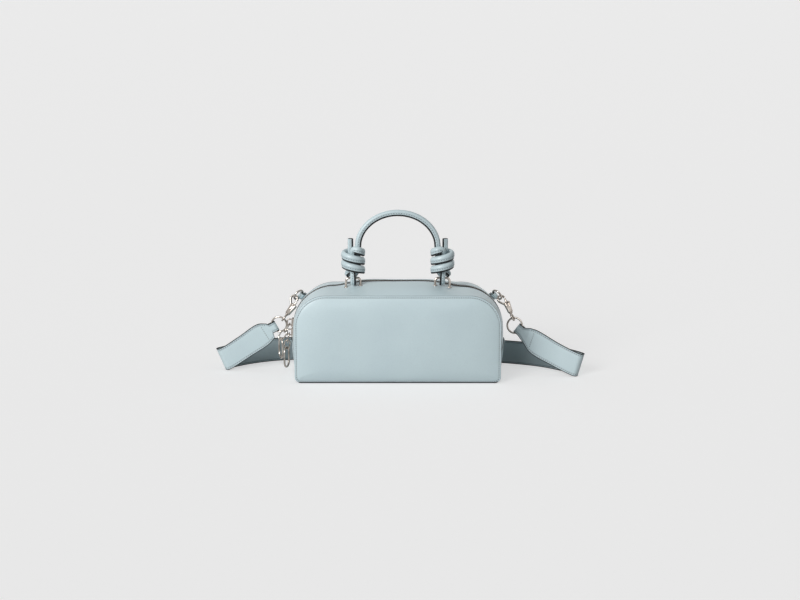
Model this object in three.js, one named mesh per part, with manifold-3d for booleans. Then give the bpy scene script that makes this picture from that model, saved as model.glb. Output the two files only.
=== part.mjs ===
// A small zip-top bowling bag in leather: arched panels, a zip over the top, one rolled handle
// knotted onto two staples, and a shoulder strap on two swivel bolt snaps.
// Millimetres, +Z up, +X to the right, the front faces -Y, origin on the floor under the base.
import * as THREE from 'three';
import { mergeVertices } from 'three/addons/utils/BufferGeometryUtils.js';
import Module from 'manifold-3d';

// Body of the bag
const BAG_WIDTH = 256;
const BAG_HEIGHT = 110;
const BAG_DEPTH = 110;
const SHOULDER_RADIUS = 47;
const FOOT_RADIUS = 8;
const LEATHER = 2.2;
const LINING = 0.8;
const PANEL_CROWN = 4;
const SHOULDER_BULGE = 4;
const END_BULGE = 5;
const TOP_CROWN = 7;
const END_SEAM_HEIGHT = 41;
const BOARD_THICKNESS = 2;
const SEAM_GAP = 0.3;

// Zip
const ZIP_SLOT = 12;
const TAPE_WIDTH = 11;
const TAPE_THICKNESS = 0.8;
const TEETH_WIDTH = 6;
const TEETH_HEIGHT = 2.5;
const TOOTH_PITCH = 10;
const TOOTH_ROOT = 0.9;
const TOOTH_REACH = 0.6;
const TOOTH_GAP = 0.5;
const END_TAB_HEIGHT = 5;
const END_TAB_WIDTH = 18;
const END_TAB_THICKNESS = 1.6;

// Zip sliders and their pulls
const SLIDER_LENGTH = 11;
const SLIDER_EDGE = 0.6;
const SLIDER_CORNER = 1.2;
const SLIDER_NOSE = 1;
const BAIL_BEND = 1.8;
const SLIDER_WIDTH = 9.2;
const SLIDER_PLATE = 1.6;
const SLIDER_CLEARANCE = 0.5;
const UPPER_SLIDER_HEIGHT = 67;
const LOWER_SLIDER_HEIGHT = 54.5;
const BAIL_WIRE = 1.8;
const BAIL_SPAN = 7.2;
const LINK_WIRE = 1.8;
const LINK_WIDTH = 7;
const LINK_STEP = 11.3;
const PULL_RING_WIRE = 2.5;
const PULL_RING_LENGTH = 25.5;
const PULL_RING_WIDTH = 14.5;
const PULL_SIDE_STEP = 5;
const PULL_RING_TURN = 20;
const UPPER_PULL_LEAN = 5.5;
const LOWER_PULL_LEAN = 2;
const LINK_GAP = 0.4;

// Handle, its knots and its staples
const ROPE = 7;
const HANDLE_SPACING = 111;
const HANDLE_INSET = 33;
const STAPLE_RISE = 17.3;
const KNOT_RISE = 23.2;
const HANDLE_RISE = 62.5;
const WRAP_RADIUS = 12;
const WRAP_THICKNESS = 6.4;
const WRAP_HEIGHT = 10;
const WRAP_PITCH = 11;
const WRAP_TURNS = 2.3;
const WRAP_START_ANGLE = -25;
const WRAP_TOP = 11.5;
const TAIL_LENGTH = 26;
const ROPE_STATION_STEP = 4.2;
const STAPLE_WIRE = 3;
const STAPLE_SPAN = 18;
const STAPLE_BEND = 4;
const STAPLE_HOLE_GAP = 0.35;
const PLATE_LENGTH = 28;
const PLATE_WIDTH = 9;
const PLATE_THICKNESS = 1.2;

// End rings and their leather tabs
const TAB_ANGLE = 38;
const TAB_WIDTH = 7;
const TAB_LEATHER = 1.4;
const TAB_START = 48;
const TAB_FOLD = 27;
const END_RING_RADIUS = 6.8;
const END_RING_WIRE = 2.5;
const END_RING_LIFT = 35;
const WIRE_GAP = 0.45;
const GRIP_GAP = 1.4;
const GRIP_ANGLE = 16;

// Swivel bolt snaps
const HOOK_THICKNESS = 5.4;
const HOOK_BLOCK_WIDTH = 8;
const HOOK_BLOCK_LENGTH = 15;
const CLAW_HOLE = 7.4;
const CLAW_WIDTH = 2.4;
const CLAW_THICKNESS = 3.6;
const BOLT_DIAMETER = 2.6;
const BOLT_TRAVEL = 5;
const BORE_GAP = 0.35;
const KNOB_DIAMETER = 2.2;
const KNOB_REACH = 2;
const SPRING_WIRE = 0.5;
const SPRING_TURNS = 3;
const EYE_RADIUS = 4.2;
const EYE_WIRE = 2.5;
const EYE_DROP = 6.5;
const POST_DIAMETER = 2.8;
const POST_HEAD = 4.4;

// Strap
const STRAP_WIDTH = 30;
const STRAP_LEATHER = 1.6;
const STRAP_LINING = 0.8;
const STRAP_SEAM_GAP = 0.6;
const STRAP_RING_RADIUS = 9.7;
const STRAP_RING_WIRE = 2.4;
const STRAP_TAB_WIDTH = 13;
const STRAP_TAB_RETURN = 14;
const FLOOR_GAP = 0.6;

const HALF_WIDTH = BAG_WIDTH / 2;
const HALF_DEPTH = BAG_DEPTH / 2;
const STAPLE_BAR_HEIGHT = BAG_HEIGHT + STAPLE_RISE;
const KNOT_HEIGHT = STAPLE_BAR_HEIGHT + KNOT_RISE;
const HANDLE_TOP = KNOT_HEIGHT + HANDLE_RISE;
const BAND_EDGE = HALF_DEPTH - LEATHER - SEAM_GAP;
const SHOULDER_X = HALF_WIDTH - SHOULDER_RADIUS;
const SHOULDER_Z = BAG_HEIGHT - SHOULDER_RADIUS;
const HANDLE_Y = -(HALF_DEPTH - HANDLE_INSET);
const PLATE_DROP = LEATHER + 2 * SEAM_GAP;
const LINING_DROP = PLATE_DROP + PLATE_THICKNESS + 2 * SEAM_GAP;
const WALL_SEGMENTS = 8;

const wasm = await Module();
wasm.setup();

const vec = (x, y, z) => new THREE.Vector3(x, y, z);
const rad = THREE.MathUtils.degToRad;
const clamp01 = (t) => Math.min(1, Math.max(0, t));
const smooth = (t) => clamp01(t) ** 2 * (3 - 2 * clamp01(t));

// Finishes
const paleLeather = () => new THREE.MeshStandardMaterial({ color: 0xb4c8d0, roughness: 0.48 });
const darkLeather = () => new THREE.MeshStandardMaterial({ color: 0x4a5456, roughness: 0.7 });
const liningCloth = () => new THREE.MeshStandardMaterial({ color: 0x6b7678, roughness: 0.9 });
const board = () => new THREE.MeshStandardMaterial({ color: 0x8a7d6a, roughness: 0.9 });
const tapeCloth = () => new THREE.MeshStandardMaterial({ color: 0x3c4448, roughness: 0.9 });
const nickel = () => new THREE.MeshStandardMaterial({ color: 0xd8d2ca, roughness: 0.22, metalness: 1 });
const springSteel = () => new THREE.MeshStandardMaterial({ color: 0x9a9a98, roughness: 0.35, metalness: 1 });

const bag = new THREE.Group();

// Adds a named piece to the bag, or to a group inside it.
function addPiece(name, geometry, material, parent = bag) {
  const mesh = new THREE.Mesh(geometry, material);
  mesh.name = name;
  parent.add(mesh);
  return mesh;
}

// Closed geometry of points and triangles, turned to face outwards.
function closedGeometry(points, triangles) {
  const edge = vec(0, 0, 0);
  const volume = triangles.reduce((sum, [a, b, c]) => {
    edge.crossVectors(points[b], points[c]);
    return sum + points[a].dot(edge);
  }, 0);
  const facing = volume < 0 ? triangles.map(([a, b, c]) => [a, c, b]) : triangles;
  const geometry = new THREE.BufferGeometry();
  geometry.setAttribute('position', new THREE.Float32BufferAttribute(points.flatMap((p) => p.toArray()), 3));
  geometry.setIndex(facing.flat());
  geometry.computeVertexNormals();
  return geometry;
}

// Skin over a row of rings with equal point counts; open rows get flat caps.
function skinRings(rings, closed = false) {
  const count = rings[0].length;
  const triangles = [];
  const bands = closed ? rings.length : rings.length - 1;
  for (let i = 0; i < bands; i += 1) {
    const next = (i + 1) % rings.length;
    for (let j = 0; j < count; j += 1) {
      const k = (j + 1) % count;
      const [a, b, c, d] = [i * count + j, i * count + k, next * count + k, next * count + j];
      triangles.push([a, b, c], [a, c, d]);
    }
  }
  if (!closed) {
    const last = (rings.length - 1) * count;
    for (let j = 1; j < count - 1; j += 1) {
      triangles.push([0, j + 1, j], [last, last + j, last + j + 1]);
    }
  }
  return closedGeometry(rings.flat(), triangles);
}

// Sheet between an outer and an inner grid of points.
function skinSheet(outer, inner) {
  const rings = outer.map((row, i) => [...row, ...inner[i].slice().reverse()]);
  const count = rings[0].length;
  const columns = outer[0].length;
  const points = rings.flat();
  const triangles = [];
  for (let i = 0; i + 1 < rings.length; i += 1) {
    for (let j = 0; j < count; j += 1) {
      const k = (j + 1) % count;
      const [a, b, c, d] = [i * count + j, i * count + k, (i + 1) * count + k, (i + 1) * count + j];
      triangles.push([a, b, c], [a, c, d]);
    }
  }
  const last = (rings.length - 1) * count;
  for (let j = 0; j + 1 < columns; j += 1) {
    const [a, b, c, d] = [j, j + 1, count - 2 - j, count - 1 - j];
    triangles.push([a, c, b], [a, d, c]);
    triangles.push([last + a, last + b, last + c], [last + a, last + c, last + d]);
  }
  return closedGeometry(points, triangles);
}

function toSolid(geometry) {
  const bare = geometry.clone();
  bare.deleteAttribute('normal');
  bare.deleteAttribute('uv');
  const merged = mergeVertices(bare, 1e-4);
  return new wasm.Manifold(new wasm.Mesh({
    numProp: 3,
    vertProperties: Float32Array.from(merged.attributes.position.array),
    triVerts: Uint32Array.from(merged.index.array),
  }));
}

function fromSolid(solid) {
  const mesh = solid.getMesh();
  const geometry = new THREE.BufferGeometry();
  geometry.setAttribute('position', new THREE.Float32BufferAttribute(mesh.vertProperties, 3));
  geometry.setIndex(Array.from(mesh.triVerts));
  geometry.computeVertexNormals();
  return geometry;
}

const join = (first, ...rest) => fromSolid(rest.reduce((sum, g) => sum.add(toSolid(g)), toSolid(first)));
const cut = (first, ...rest) => fromSolid(rest.reduce((sum, g) => sum.subtract(toSolid(g)), toSolid(first)));
const common = (a, b) => fromSolid(toSolid(a).intersect(toSolid(b)));

// Round bar along Z between two heights.
function roundBar(diameter, low, high, sides = 12) {
  const bar = new THREE.CylinderGeometry(diameter / 2, diameter / 2, high - low, sides);
  return bar.rotateX(Math.PI / 2).translate(0, 0, (low + high) / 2);
}

// Plate of a shape drawn in X and Z, centred on Y.
function plateXZ(shape, thickness) {
  const options = { depth: thickness, bevelEnabled: false, curveSegments: 10 };
  const plate = new THREE.ExtrudeGeometry(shape, options);
  return plate.rotateX(Math.PI / 2).translate(0, thickness / 2, 0);
}

// Wire of round section along points that lie in one plane.
function wireAlong(points, diameter, planeNormal, closed = false, sides = 8) {
  const rings = points.map((point, i) => {
    const before = points[closed ? (i + points.length - 1) % points.length : Math.max(i - 1, 0)];
    const after = points[closed ? (i + 1) % points.length : Math.min(i + 1, points.length - 1)];
    const tangent = after.clone().sub(before).normalize();
    const side = tangent.clone().cross(planeNormal).normalize();
    return Array.from({ length: sides }, (_, k) => {
      const turn = (k / sides) * 2 * Math.PI;
      return point.clone()
        .addScaledVector(side, (Math.cos(turn) * diameter) / 2)
        .addScaledVector(planeNormal, (Math.sin(turn) * diameter) / 2);
    });
  });
  return skinRings(rings, closed);
}

// Oval wire ring; length and width are measured on the wire's centreline.
function ovalRing(centre, along, across, length, width, diameter, arcSteps = 8, sides = 7) {
  const straight = (length - width) / 2;
  const points = [];
  for (const end of [1, -1]) {
    for (let i = straight > 0 ? 0 : 1; i <= arcSteps; i += 1) {
      const turn = (i / arcSteps) * Math.PI * end - (Math.PI / 2) * end;
      points.push(centre.clone()
        .addScaledVector(along, end * (straight + (Math.cos(turn) * width) / 2))
        .addScaledVector(across, (Math.sin(turn) * width) / 2));
    }
  }
  const normal = along.clone().cross(across).normalize();
  return wireAlong(points, diameter, normal, true, sides);
}

// Placement of a piece drawn in its own axes.
function placed(origin, xAxis, yAxis, zAxis) {
  const group = new THREE.Group();
  const turn = new THREE.Matrix4().makeBasis(xAxis, yAxis, zAxis).setPosition(origin);
  turn.decompose(group.position, group.quaternion, group.scale);
  bag.add(group);
  return group;
}

// Outline of the panels, as stations with outward normals

function bulgeOnSide(z) {
  const peak = (SHOULDER_Z + FOOT_RADIUS) / 2;
  const reach = (SHOULDER_Z - FOOT_RADIUS) / 2;
  const hump = 1 - Math.min(1, Math.abs(z - peak) / reach) ** 2;
  return SHOULDER_BULGE * smooth((z - FOOT_RADIUS) / reach) + (END_BULGE - SHOULDER_BULGE) * hump ** 2;
}

function bulgeOnTop(x) {
  return SHOULDER_BULGE + TOP_CROWN * (1 - Math.min(1, Math.abs(x) / SHOULDER_X) ** 4) ** 2;
}

function station(x, z, nx, nz, bulge) {
  return { x, z, nx, nz, bulge };
}

function baseStations() {
  const flat = HALF_WIDTH - FOOT_RADIUS;
  return [0, 0.35, 0.7].map((t) => station(flat * t, 0, 0, -1, 0));
}

function footStations() {
  const steps = 4;
  return Array.from({ length: steps + 1 }, (_, i) => {
    const turn = ((i / steps) * Math.PI) / 2 - Math.PI / 2;
    const [nx, nz] = [Math.cos(turn), Math.sin(turn)];
    const centre = HALF_WIDTH - FOOT_RADIUS;
    return station(centre + FOOT_RADIUS * nx, FOOT_RADIUS * (1 + nz), nx, nz, 0);
  });
}

function sideStations(low, high, steps) {
  return Array.from({ length: steps + 1 }, (_, i) => {
    const z = THREE.MathUtils.lerp(low, high, i / steps);
    return station(HALF_WIDTH, z, 1, 0, bulgeOnSide(z));
  });
}

function shoulderStation(degrees) {
  const [nx, nz] = [Math.cos(rad(degrees)), Math.sin(rad(degrees))];
  const x = SHOULDER_X + SHOULDER_RADIUS * nx;
  const z = SHOULDER_Z + SHOULDER_RADIUS * nz;
  return station(x, z, nx, nz, SHOULDER_BULGE);
}

function shoulderStations() {
  return Array.from({ length: WALL_SEGMENTS - 1 }, (_, i) => shoulderStation((90 * (i + 1)) / WALL_SEGMENTS));
}

function topStations(from, to, steps) {
  return Array.from({ length: steps + 1 }, (_, i) => {
    const x = THREE.MathUtils.lerp(from, to, i / steps);
    return station(x, BAG_HEIGHT, 0, 1, bulgeOnTop(x));
  });
}

const mirrored = (list) => list.map((s) => ({ ...s, x: -s.x, nx: -s.nx })).reverse();

// Right seam, over the top, to the left seam.
function overTheTop(seamHeight) {
  const rightEnd = [...sideStations(seamHeight, SHOULDER_Z, 3), ...shoulderStations()];
  return [...rightEnd, ...topStations(SHOULDER_X, -SHOULDER_X, 12), ...mirrored(rightEnd)];
}

// Left seam, under the base, to the right seam.
function underTheBase(seamHeight) {
  const rightEnd = [
    ...baseStations().slice(1),
    ...footStations(),
    ...sideStations(FOOT_RADIUS, seamHeight, 3).slice(1),
  ];
  return [...mirrored(rightEnd), ...baseStations().slice(0, 1), ...rightEnd];
}

function wholeOutline() {
  const rightSide = [
    ...baseStations().slice(1),
    ...footStations(),
    ...sideStations(FOOT_RADIUS, SHOULDER_Z, 3).slice(1),
    ...shoulderStations(),
    ...topStations(SHOULDER_X, 0, 4).slice(0, -1),
  ];
  const topCentre = station(0, BAG_HEIGHT, 0, 1, bulgeOnTop(0));
  return [...baseStations().slice(0, 1), ...rightSide, topCentre, ...mirrored(rightSide)];
}

// Point of the band round the bag at a depth below its surface.
function bandPoint(place, y, depth) {
  const swell = place.bulge * (1 - (y / BAND_EDGE) ** 2) - depth;
  return vec(place.x + place.nx * swell, y, place.z + place.nz * swell);
}

function bandSheet(places, ys, depth, thickness) {
  const layer = (d) => places.map((place) => ys.map((y) => bandPoint(place, y, d)));
  return skinSheet(layer(depth), layer(depth + thickness));
}

const topSurface = (x, y) => bandPoint(station(x, BAG_HEIGHT, 0, 1, bulgeOnTop(x)), y, 0).z;
const spread = (from, to, shares) => shares.map((t) => THREE.MathUtils.lerp(from, to, t));

// Panels and linings

// Crowned sheet that fills the outline, on the side of the bag that facing names.
function panelSheet(facing, face, thickness, inset, shares) {
  const places = wholeOutline();
  const middle = vec(0, 0, BAG_HEIGHT / 2);
  const layer = (y) => {
    const rings = shares.map((share) => places.map((place) => {
      const edge = vec(place.x - place.nx * inset, 0, place.z - place.nz * inset);
      const point = middle.clone().lerp(edge, share);
      point.y = facing * (y + PANEL_CROWN * (1 - share ** 2));
      return point;
    }));
    return { rings, tip: vec(0, facing * (y + PANEL_CROWN), BAG_HEIGHT / 2) };
  };
  const outer = layer(face);
  const inner = layer(face - thickness);
  const rows = [...outer.rings.slice().reverse(), ...inner.rings];
  const count = places.length;
  const points = [...rows.flat(), outer.tip, inner.tip];
  const triangles = [];
  rows.slice(1).forEach((_, i) => {
    for (let j = 0; j < count; j += 1) {
      const k = (j + 1) % count;
      const [a, b, c, d] = [i * count + j, i * count + k, (i + 1) * count + k, (i + 1) * count + j];
      triangles.push([a, b, c], [a, c, d]);
    }
  });
  const last = (rows.length - 1) * count;
  for (let j = 0; j < count; j += 1) {
    const k = (j + 1) % count;
    triangles.push([j, points.length - 2, k], [last + j, last + k, points.length - 1]);
  }
  return closedGeometry(points, triangles);
}

const sides = [['front', -1], ['back', 1]];
const gussetShares = [0, 0.06, 0.2, 0.42, 0.7, 1];
const liningFace = HALF_DEPTH - LEATHER - SEAM_GAP;
const liningEdge = liningFace - LINING - SEAM_GAP;
const gussets = {};

for (const [name, facing] of sides) {
  addPiece(`${name}_panel`, panelSheet(facing, HALF_DEPTH, LEATHER, 0, [1, 0.94, 0.72, 0.4]), paleLeather());
  addPiece(`lining_${name}`, panelSheet(facing, liningFace, LINING, LINING_DROP + LINING + SEAM_GAP,
    [1, 0.6]), liningCloth());
  const ys = spread(facing * BAND_EDGE, (facing * ZIP_SLOT) / 2, gussetShares);
  gussets[name] = bandSheet(overTheTop(END_SEAM_HEIGHT + SEAM_GAP), ys, 0, LEATHER);
  const tapeEdge = facing * (TAPE_WIDTH + SEAM_GAP + TOOTH_GAP);
  addPiece(`lining_gusset_${name}`,
    bandSheet(overTheTop(END_SEAM_HEIGHT), spread(facing * liningEdge, tapeEdge, [0, 0.4, 1]),
      LINING_DROP, LINING), liningCloth());
}

// Base: a U of leather, a stiff board on it and the lining over the board

const baseYs = spread(-BAND_EDGE, BAND_EDGE, [0, 0.06, 0.25, 0.5, 0.75, 0.94, 1]);
addPiece('base_gusset', bandSheet(underTheBase(END_SEAM_HEIGHT), baseYs, 0, LEATHER), paleLeather());

const boardInset = FOOT_RADIUS + SEAM_GAP;
const boardWidth = BAG_WIDTH - 2 * boardInset;
const boardDepth = 2 * (BAND_EDGE - LINING - 2 * SEAM_GAP);
const boardGeometry = new THREE.BoxGeometry(boardWidth, boardDepth, BOARD_THICKNESS);
const boardBottom = LEATHER + SEAM_GAP;
addPiece('base_board', boardGeometry.translate(0, 0, boardBottom + BOARD_THICKNESS / 2), board());

const baseLiningDrop = boardBottom + BOARD_THICKNESS + SEAM_GAP;
const baseLiningYs = spread(-liningEdge, liningEdge, [0, 0.25, 0.5, 0.75, 1]);
const baseLiningPlaces = underTheBase(END_SEAM_HEIGHT - SEAM_GAP - LINING);
addPiece('lining_base', bandSheet(baseLiningPlaces, baseLiningYs, baseLiningDrop, LINING), liningCloth());

// Zip: tapes under the gussets' edges, two interlocking rows of teeth, a leather tab over each end

const tapeDrop = LEATHER + SEAM_GAP;
const zipEnd = END_SEAM_HEIGHT + 2 * SEAM_GAP;
for (const [name, facing] of sides) {
  const ys = [facing * TAPE_WIDTH, facing * TOOTH_GAP];
  addPiece(`zip_tape_${name}`, bandSheet(overTheTop(zipEnd), ys, tapeDrop, TAPE_THICKNESS), tapeCloth());
}

// Stations at even steps along the zip line, each with its distance from the right end.
function zipLine() {
  const places = overTheTop(zipEnd);
  const points = places.map((place) => bandPoint(place, 0, 0));
  const distance = [0];
  for (let i = 1; i < points.length; i += 1) {
    distance.push(distance[i - 1] + points[i].distanceTo(points[i - 1]));
  }
  const at = (s) => {
    const i = Math.max(1, distance.findIndex((d) => d >= s));
    const t = (s - distance[i - 1]) / (distance[i] - distance[i - 1]);
    const mix = (key) => THREE.MathUtils.lerp(places[i - 1][key], places[i][key], t);
    return station(mix('x'), mix('z'), mix('nx'), mix('nz'), mix('bulge'));
  };
  return { length: distance.at(-1), at };
}

// One row of teeth on its cord; the other row's teeth fall in its gaps.
function teethRow(facing, phase) {
  const line = zipLine();
  const root = (facing * TEETH_WIDTH) / 2;
  const gap = facing * TOOTH_ROOT;
  const tip = -facing * TOOTH_REACH;
  const half = TOOTH_PITCH / 4 - TOOTH_GAP / 2;
  const rows = [];
  const addRow = (s, edge) => rows.push([line.at(s), edge]);
  addRow(0, gap);
  for (let s = TOOTH_PITCH * (0.5 + phase); s + TOOTH_PITCH / 2 < line.length; s += TOOTH_PITCH) {
    addRow(s - half - TOOTH_GAP / 2, gap);
    addRow(s - half, tip);
    addRow(s + half, tip);
    addRow(s + half + TOOTH_GAP / 2, gap);
  }
  addRow(line.length - 1e-3, gap);
  const low = tapeDrop - SEAM_GAP;
  const layer = (depth) => rows.map(([place, edge]) => [root, edge].map((y) => bandPoint(place, y, depth)));
  return skinSheet(layer(low - TEETH_HEIGHT), layer(low));
}

addPiece('zip_teeth_front', teethRow(-1, 0), nickel());
addPiece('zip_teeth_back', teethRow(1, 0.5), nickel());

const endTabPlaces = sideStations(END_SEAM_HEIGHT, END_SEAM_HEIGHT + END_TAB_HEIGHT, 2);
const endTabYs = spread(-END_TAB_WIDTH / 2, END_TAB_WIDTH / 2, [0, 0.3, 0.5, 0.7, 1]);
const endTabDrop = -(SEAM_GAP + END_TAB_THICKNESS + TEETH_HEIGHT - LEATHER);
for (const [name, places] of [['right', endTabPlaces], ['left', mirrored(endTabPlaces)]]) {
  const tab = bandSheet(places, endTabYs, endTabDrop, END_TAB_THICKNESS);
  addPiece(`zip_end_tab_${name}`, tab, paleLeather());
}

// Sliders: a channel over the teeth with a wire bail, in axes of X outwards and Z up along the zip

const teethTop = TEETH_HEIGHT - LEATHER;
const plateLow = teethTop + SLIDER_CLEARANCE;
const plateTop = plateLow + SLIDER_PLATE;
const linkReach = (LINK_WIRE + BAIL_WIRE) / 2 + LINK_GAP;
const pivotRise = plateTop + linkReach + LINK_WIRE / 2;
const bailCrown = pivotRise + linkReach;

function sliderGeometry() {
  const flangeIn = TEETH_WIDTH / 2 + SLIDER_CLEARANCE;
  const half = SLIDER_WIDTH / 2;
  const flangeLow = -(LEATHER - SLIDER_CLEARANCE);
  const channel = new THREE.Shape();
  channel.moveTo(flangeLow, -half);
  channel.lineTo(plateTop - SLIDER_EDGE, -half);
  channel.lineTo(plateTop, SLIDER_EDGE - half);
  channel.lineTo(plateTop, half - SLIDER_EDGE);
  channel.lineTo(plateTop - SLIDER_EDGE, half);
  channel.lineTo(flangeLow, half);
  channel.lineTo(flangeLow, flangeIn);
  channel.lineTo(plateLow, flangeIn);
  channel.lineTo(plateLow, -flangeIn);
  channel.lineTo(flangeLow, -flangeIn);
  const body = new THREE.ExtrudeGeometry(channel, { depth: SLIDER_LENGTH, bevelEnabled: false });
  body.translate(0, 0, -SLIDER_LENGTH / 2);
  const waist = new THREE.Shape();
  const end = SLIDER_LENGTH / 2;
  waist.moveTo(SLIDER_NOSE - half, -end);
  waist.lineTo(half - SLIDER_NOSE, -end);
  waist.quadraticCurveTo(half, -end / 2, half, end / 3);
  waist.lineTo(half, end - SLIDER_CORNER);
  waist.lineTo(half - SLIDER_CORNER, end);
  waist.lineTo(SLIDER_CORNER - half, end);
  waist.lineTo(-half, end - SLIDER_CORNER);
  waist.lineTo(-half, end / 3);
  waist.quadraticCurveTo(-half, -end / 2, SLIDER_NOSE - half, -end);
  const height = bailCrown + LEATHER;
  const options = { depth: 2 * height, bevelEnabled: false, curveSegments: 4 };
  const outline = new THREE.ExtrudeGeometry(waist, options);
  outline.translate(0, 0, -height).rotateX(Math.PI / 2).rotateZ(Math.PI / 2);
  const leg = BAIL_SPAN / 2;
  const bend = BAIL_BEND;
  const bailPath = [[plateLow + 0.4, -leg], [bailCrown - bend, -leg]];
  for (const degrees of [30, 60]) {
    const [s, c] = [Math.sin(rad(degrees)), Math.cos(rad(degrees))];
    bailPath.push([bailCrown - bend + bend * s, -leg + bend - bend * c]);
  }
  bailPath.push([bailCrown, bend - leg]);
  const wholeBail = [...bailPath, ...bailPath.map(([x, z]) => [x, -z]).reverse()];
  const bail = wireAlong(wholeBail.map(([x, z]) => vec(x, 0, z)), BAIL_WIRE, vec(0, 1, 0));
  return join(common(body, outline), bail);
}

// Place of a slider on the left end, from the height of its middle.
function sliderPlace(height) {
  const climb = Math.max(0, height - SHOULDER_Z);
  const turn = Math.asin(climb / (SHOULDER_RADIUS + SHOULDER_BULGE));
  const outward = vec(-Math.cos(turn), 0, Math.sin(turn));
  const along = vec(Math.sin(turn), 0, Math.cos(turn));
  const straightX = -(HALF_WIDTH + bulgeOnSide(Math.min(height, SHOULDER_Z)));
  const onArc = vec(-SHOULDER_X, 0, SHOULDER_Z).addScaledVector(outward, SHOULDER_RADIUS + SHOULDER_BULGE);
  const origin = climb > 0 ? onArc : vec(straightX, 0, height);
  return { origin, outward, along };
}

const ringReach = (LINK_WIRE + PULL_RING_WIRE) / 2 + LINK_GAP;

// A slider with its pull: two links and an oval ring, hanging to one side of the zip.
function addSlider(name, height, sideStep, lean) {
  const { origin, outward, along } = sliderPlace(height);
  const group = placed(origin, outward, along.clone().cross(outward), along);
  addPiece(`zip_slider_${name}`, sliderGeometry(), nickel(), group);
  const pivot = origin.clone().addScaledVector(outward, pivotRise).addScaledVector(along, -BAIL_SPAN / 2);
  const drop = Math.sqrt(LINK_STEP ** 2 - sideStep ** 2 - lean ** 2);
  const step = vec(-lean, sideStep, -drop);
  const first = pivot.clone().add(step);
  const second = first.clone().add(step);
  const way = step.clone().normalize();
  const acrossFirst = vec(0, 1, 0).addScaledVector(way, -way.y).normalize();
  const acrossSecond = way.clone().cross(acrossFirst);
  const linkLength = LINK_STEP + linkReach;
  const links = [[pivot, acrossFirst, 'upper'], [first, acrossSecond, 'lower']];
  for (const [start, across, place] of links) {
    const centre = start.clone().addScaledVector(way, LINK_STEP / 2 - linkReach / 2);
    const link = ovalRing(centre, way, across, linkLength, LINK_WIDTH, LINK_WIRE, 6, 6);
    addPiece(`${name}_pull_${place}_link`, link, nickel());
  }
  const ringCentre = second.clone().addScaledVector(way, -ringReach).add(vec(0, 0, -PULL_RING_LENGTH / 2));
  const turn = rad(PULL_RING_TURN) * Math.sign(sideStep);
  const sideways = vec(Math.sin(turn), Math.cos(turn), 0);
  const ring = ovalRing(
    ringCentre, vec(0, 0, 1), sideways, PULL_RING_LENGTH, PULL_RING_WIDTH, PULL_RING_WIRE,
  );
  addPiece(`${name}_pull_ring`, ring, nickel());
}

addSlider('upper', UPPER_SLIDER_HEIGHT, -PULL_SIDE_STEP, UPPER_PULL_LEAN);
addSlider('lower', LOWER_SLIDER_HEIGHT, PULL_SIDE_STEP, LOWER_PULL_LEAN);

// Handle staples and the plates that they are riveted to

for (const [name, hand] of [['left', -1], ['right', 1]]) {
  const middle = (hand * HANDLE_SPACING) / 2;
  const feet = [-1, 1].map((end) => middle + (end * STAPLE_SPAN) / 2);
  const bend = STAPLE_BEND;
  const path = [vec(feet[0], HANDLE_Y, topSurface(feet[0], HANDLE_Y) - PLATE_DROP - PLATE_THICKNESS)];
  for (const [foot, end] of [[feet[0], 1], [feet[1], -1]]) {
    const turns = end > 0 ? [0, 30, 60, 90] : [90, 60, 30, 0];
    for (const degrees of turns) {
      const x = foot + end * bend * (1 - Math.cos(rad(degrees)));
      path.push(vec(x, HANDLE_Y, STAPLE_BAR_HEIGHT - bend + bend * Math.sin(rad(degrees))));
    }
  }
  path.push(vec(feet[1], HANDLE_Y, topSurface(feet[1], HANDLE_Y) - PLATE_DROP - PLATE_THICKNESS));
  addPiece(`handle_staple_${name}`, wireAlong(path, STAPLE_WIRE, vec(0, 1, 0)), nickel());
  const holes = feet.map((x) => {
    const low = BAG_HEIGHT - LEATHER - PLATE_THICKNESS;
    return roundBar(STAPLE_WIRE + 2 * STAPLE_HOLE_GAP, low, HANDLE_TOP).translate(x, HANDLE_Y, 0);
  });
  gussets.front = cut(gussets.front, ...holes);
  const platePlaces = topStations(middle - PLATE_LENGTH / 2, middle + PLATE_LENGTH / 2, 4);
  const plateYs = [HANDLE_Y - PLATE_WIDTH / 2, HANDLE_Y, HANDLE_Y + PLATE_WIDTH / 2];
  const plate = bandSheet(platePlaces, plateYs, PLATE_DROP, PLATE_THICKNESS);
  addPiece(`staple_backing_plate_${name}`, cut(plate, ...holes), springSteel());
}
addPiece('zip_gusset_front', gussets.front, paleLeather());
addPiece('zip_gusset_back', gussets.back, paleLeather());

// Handle: one unbroken rolled-leather rope, knotted round both staples

const ropeHalf = ROPE / 2;
const loopRadius = ropeHalf + STAPLE_WIRE / 2 + 0.5;
const barDrop = -KNOT_RISE;
const standing = { x: 4.4, y: 1.2 };
const rising = { x: -0.6, y: -4.4 };
const tail = { x: -3.4, y: 2.6 };

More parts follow.
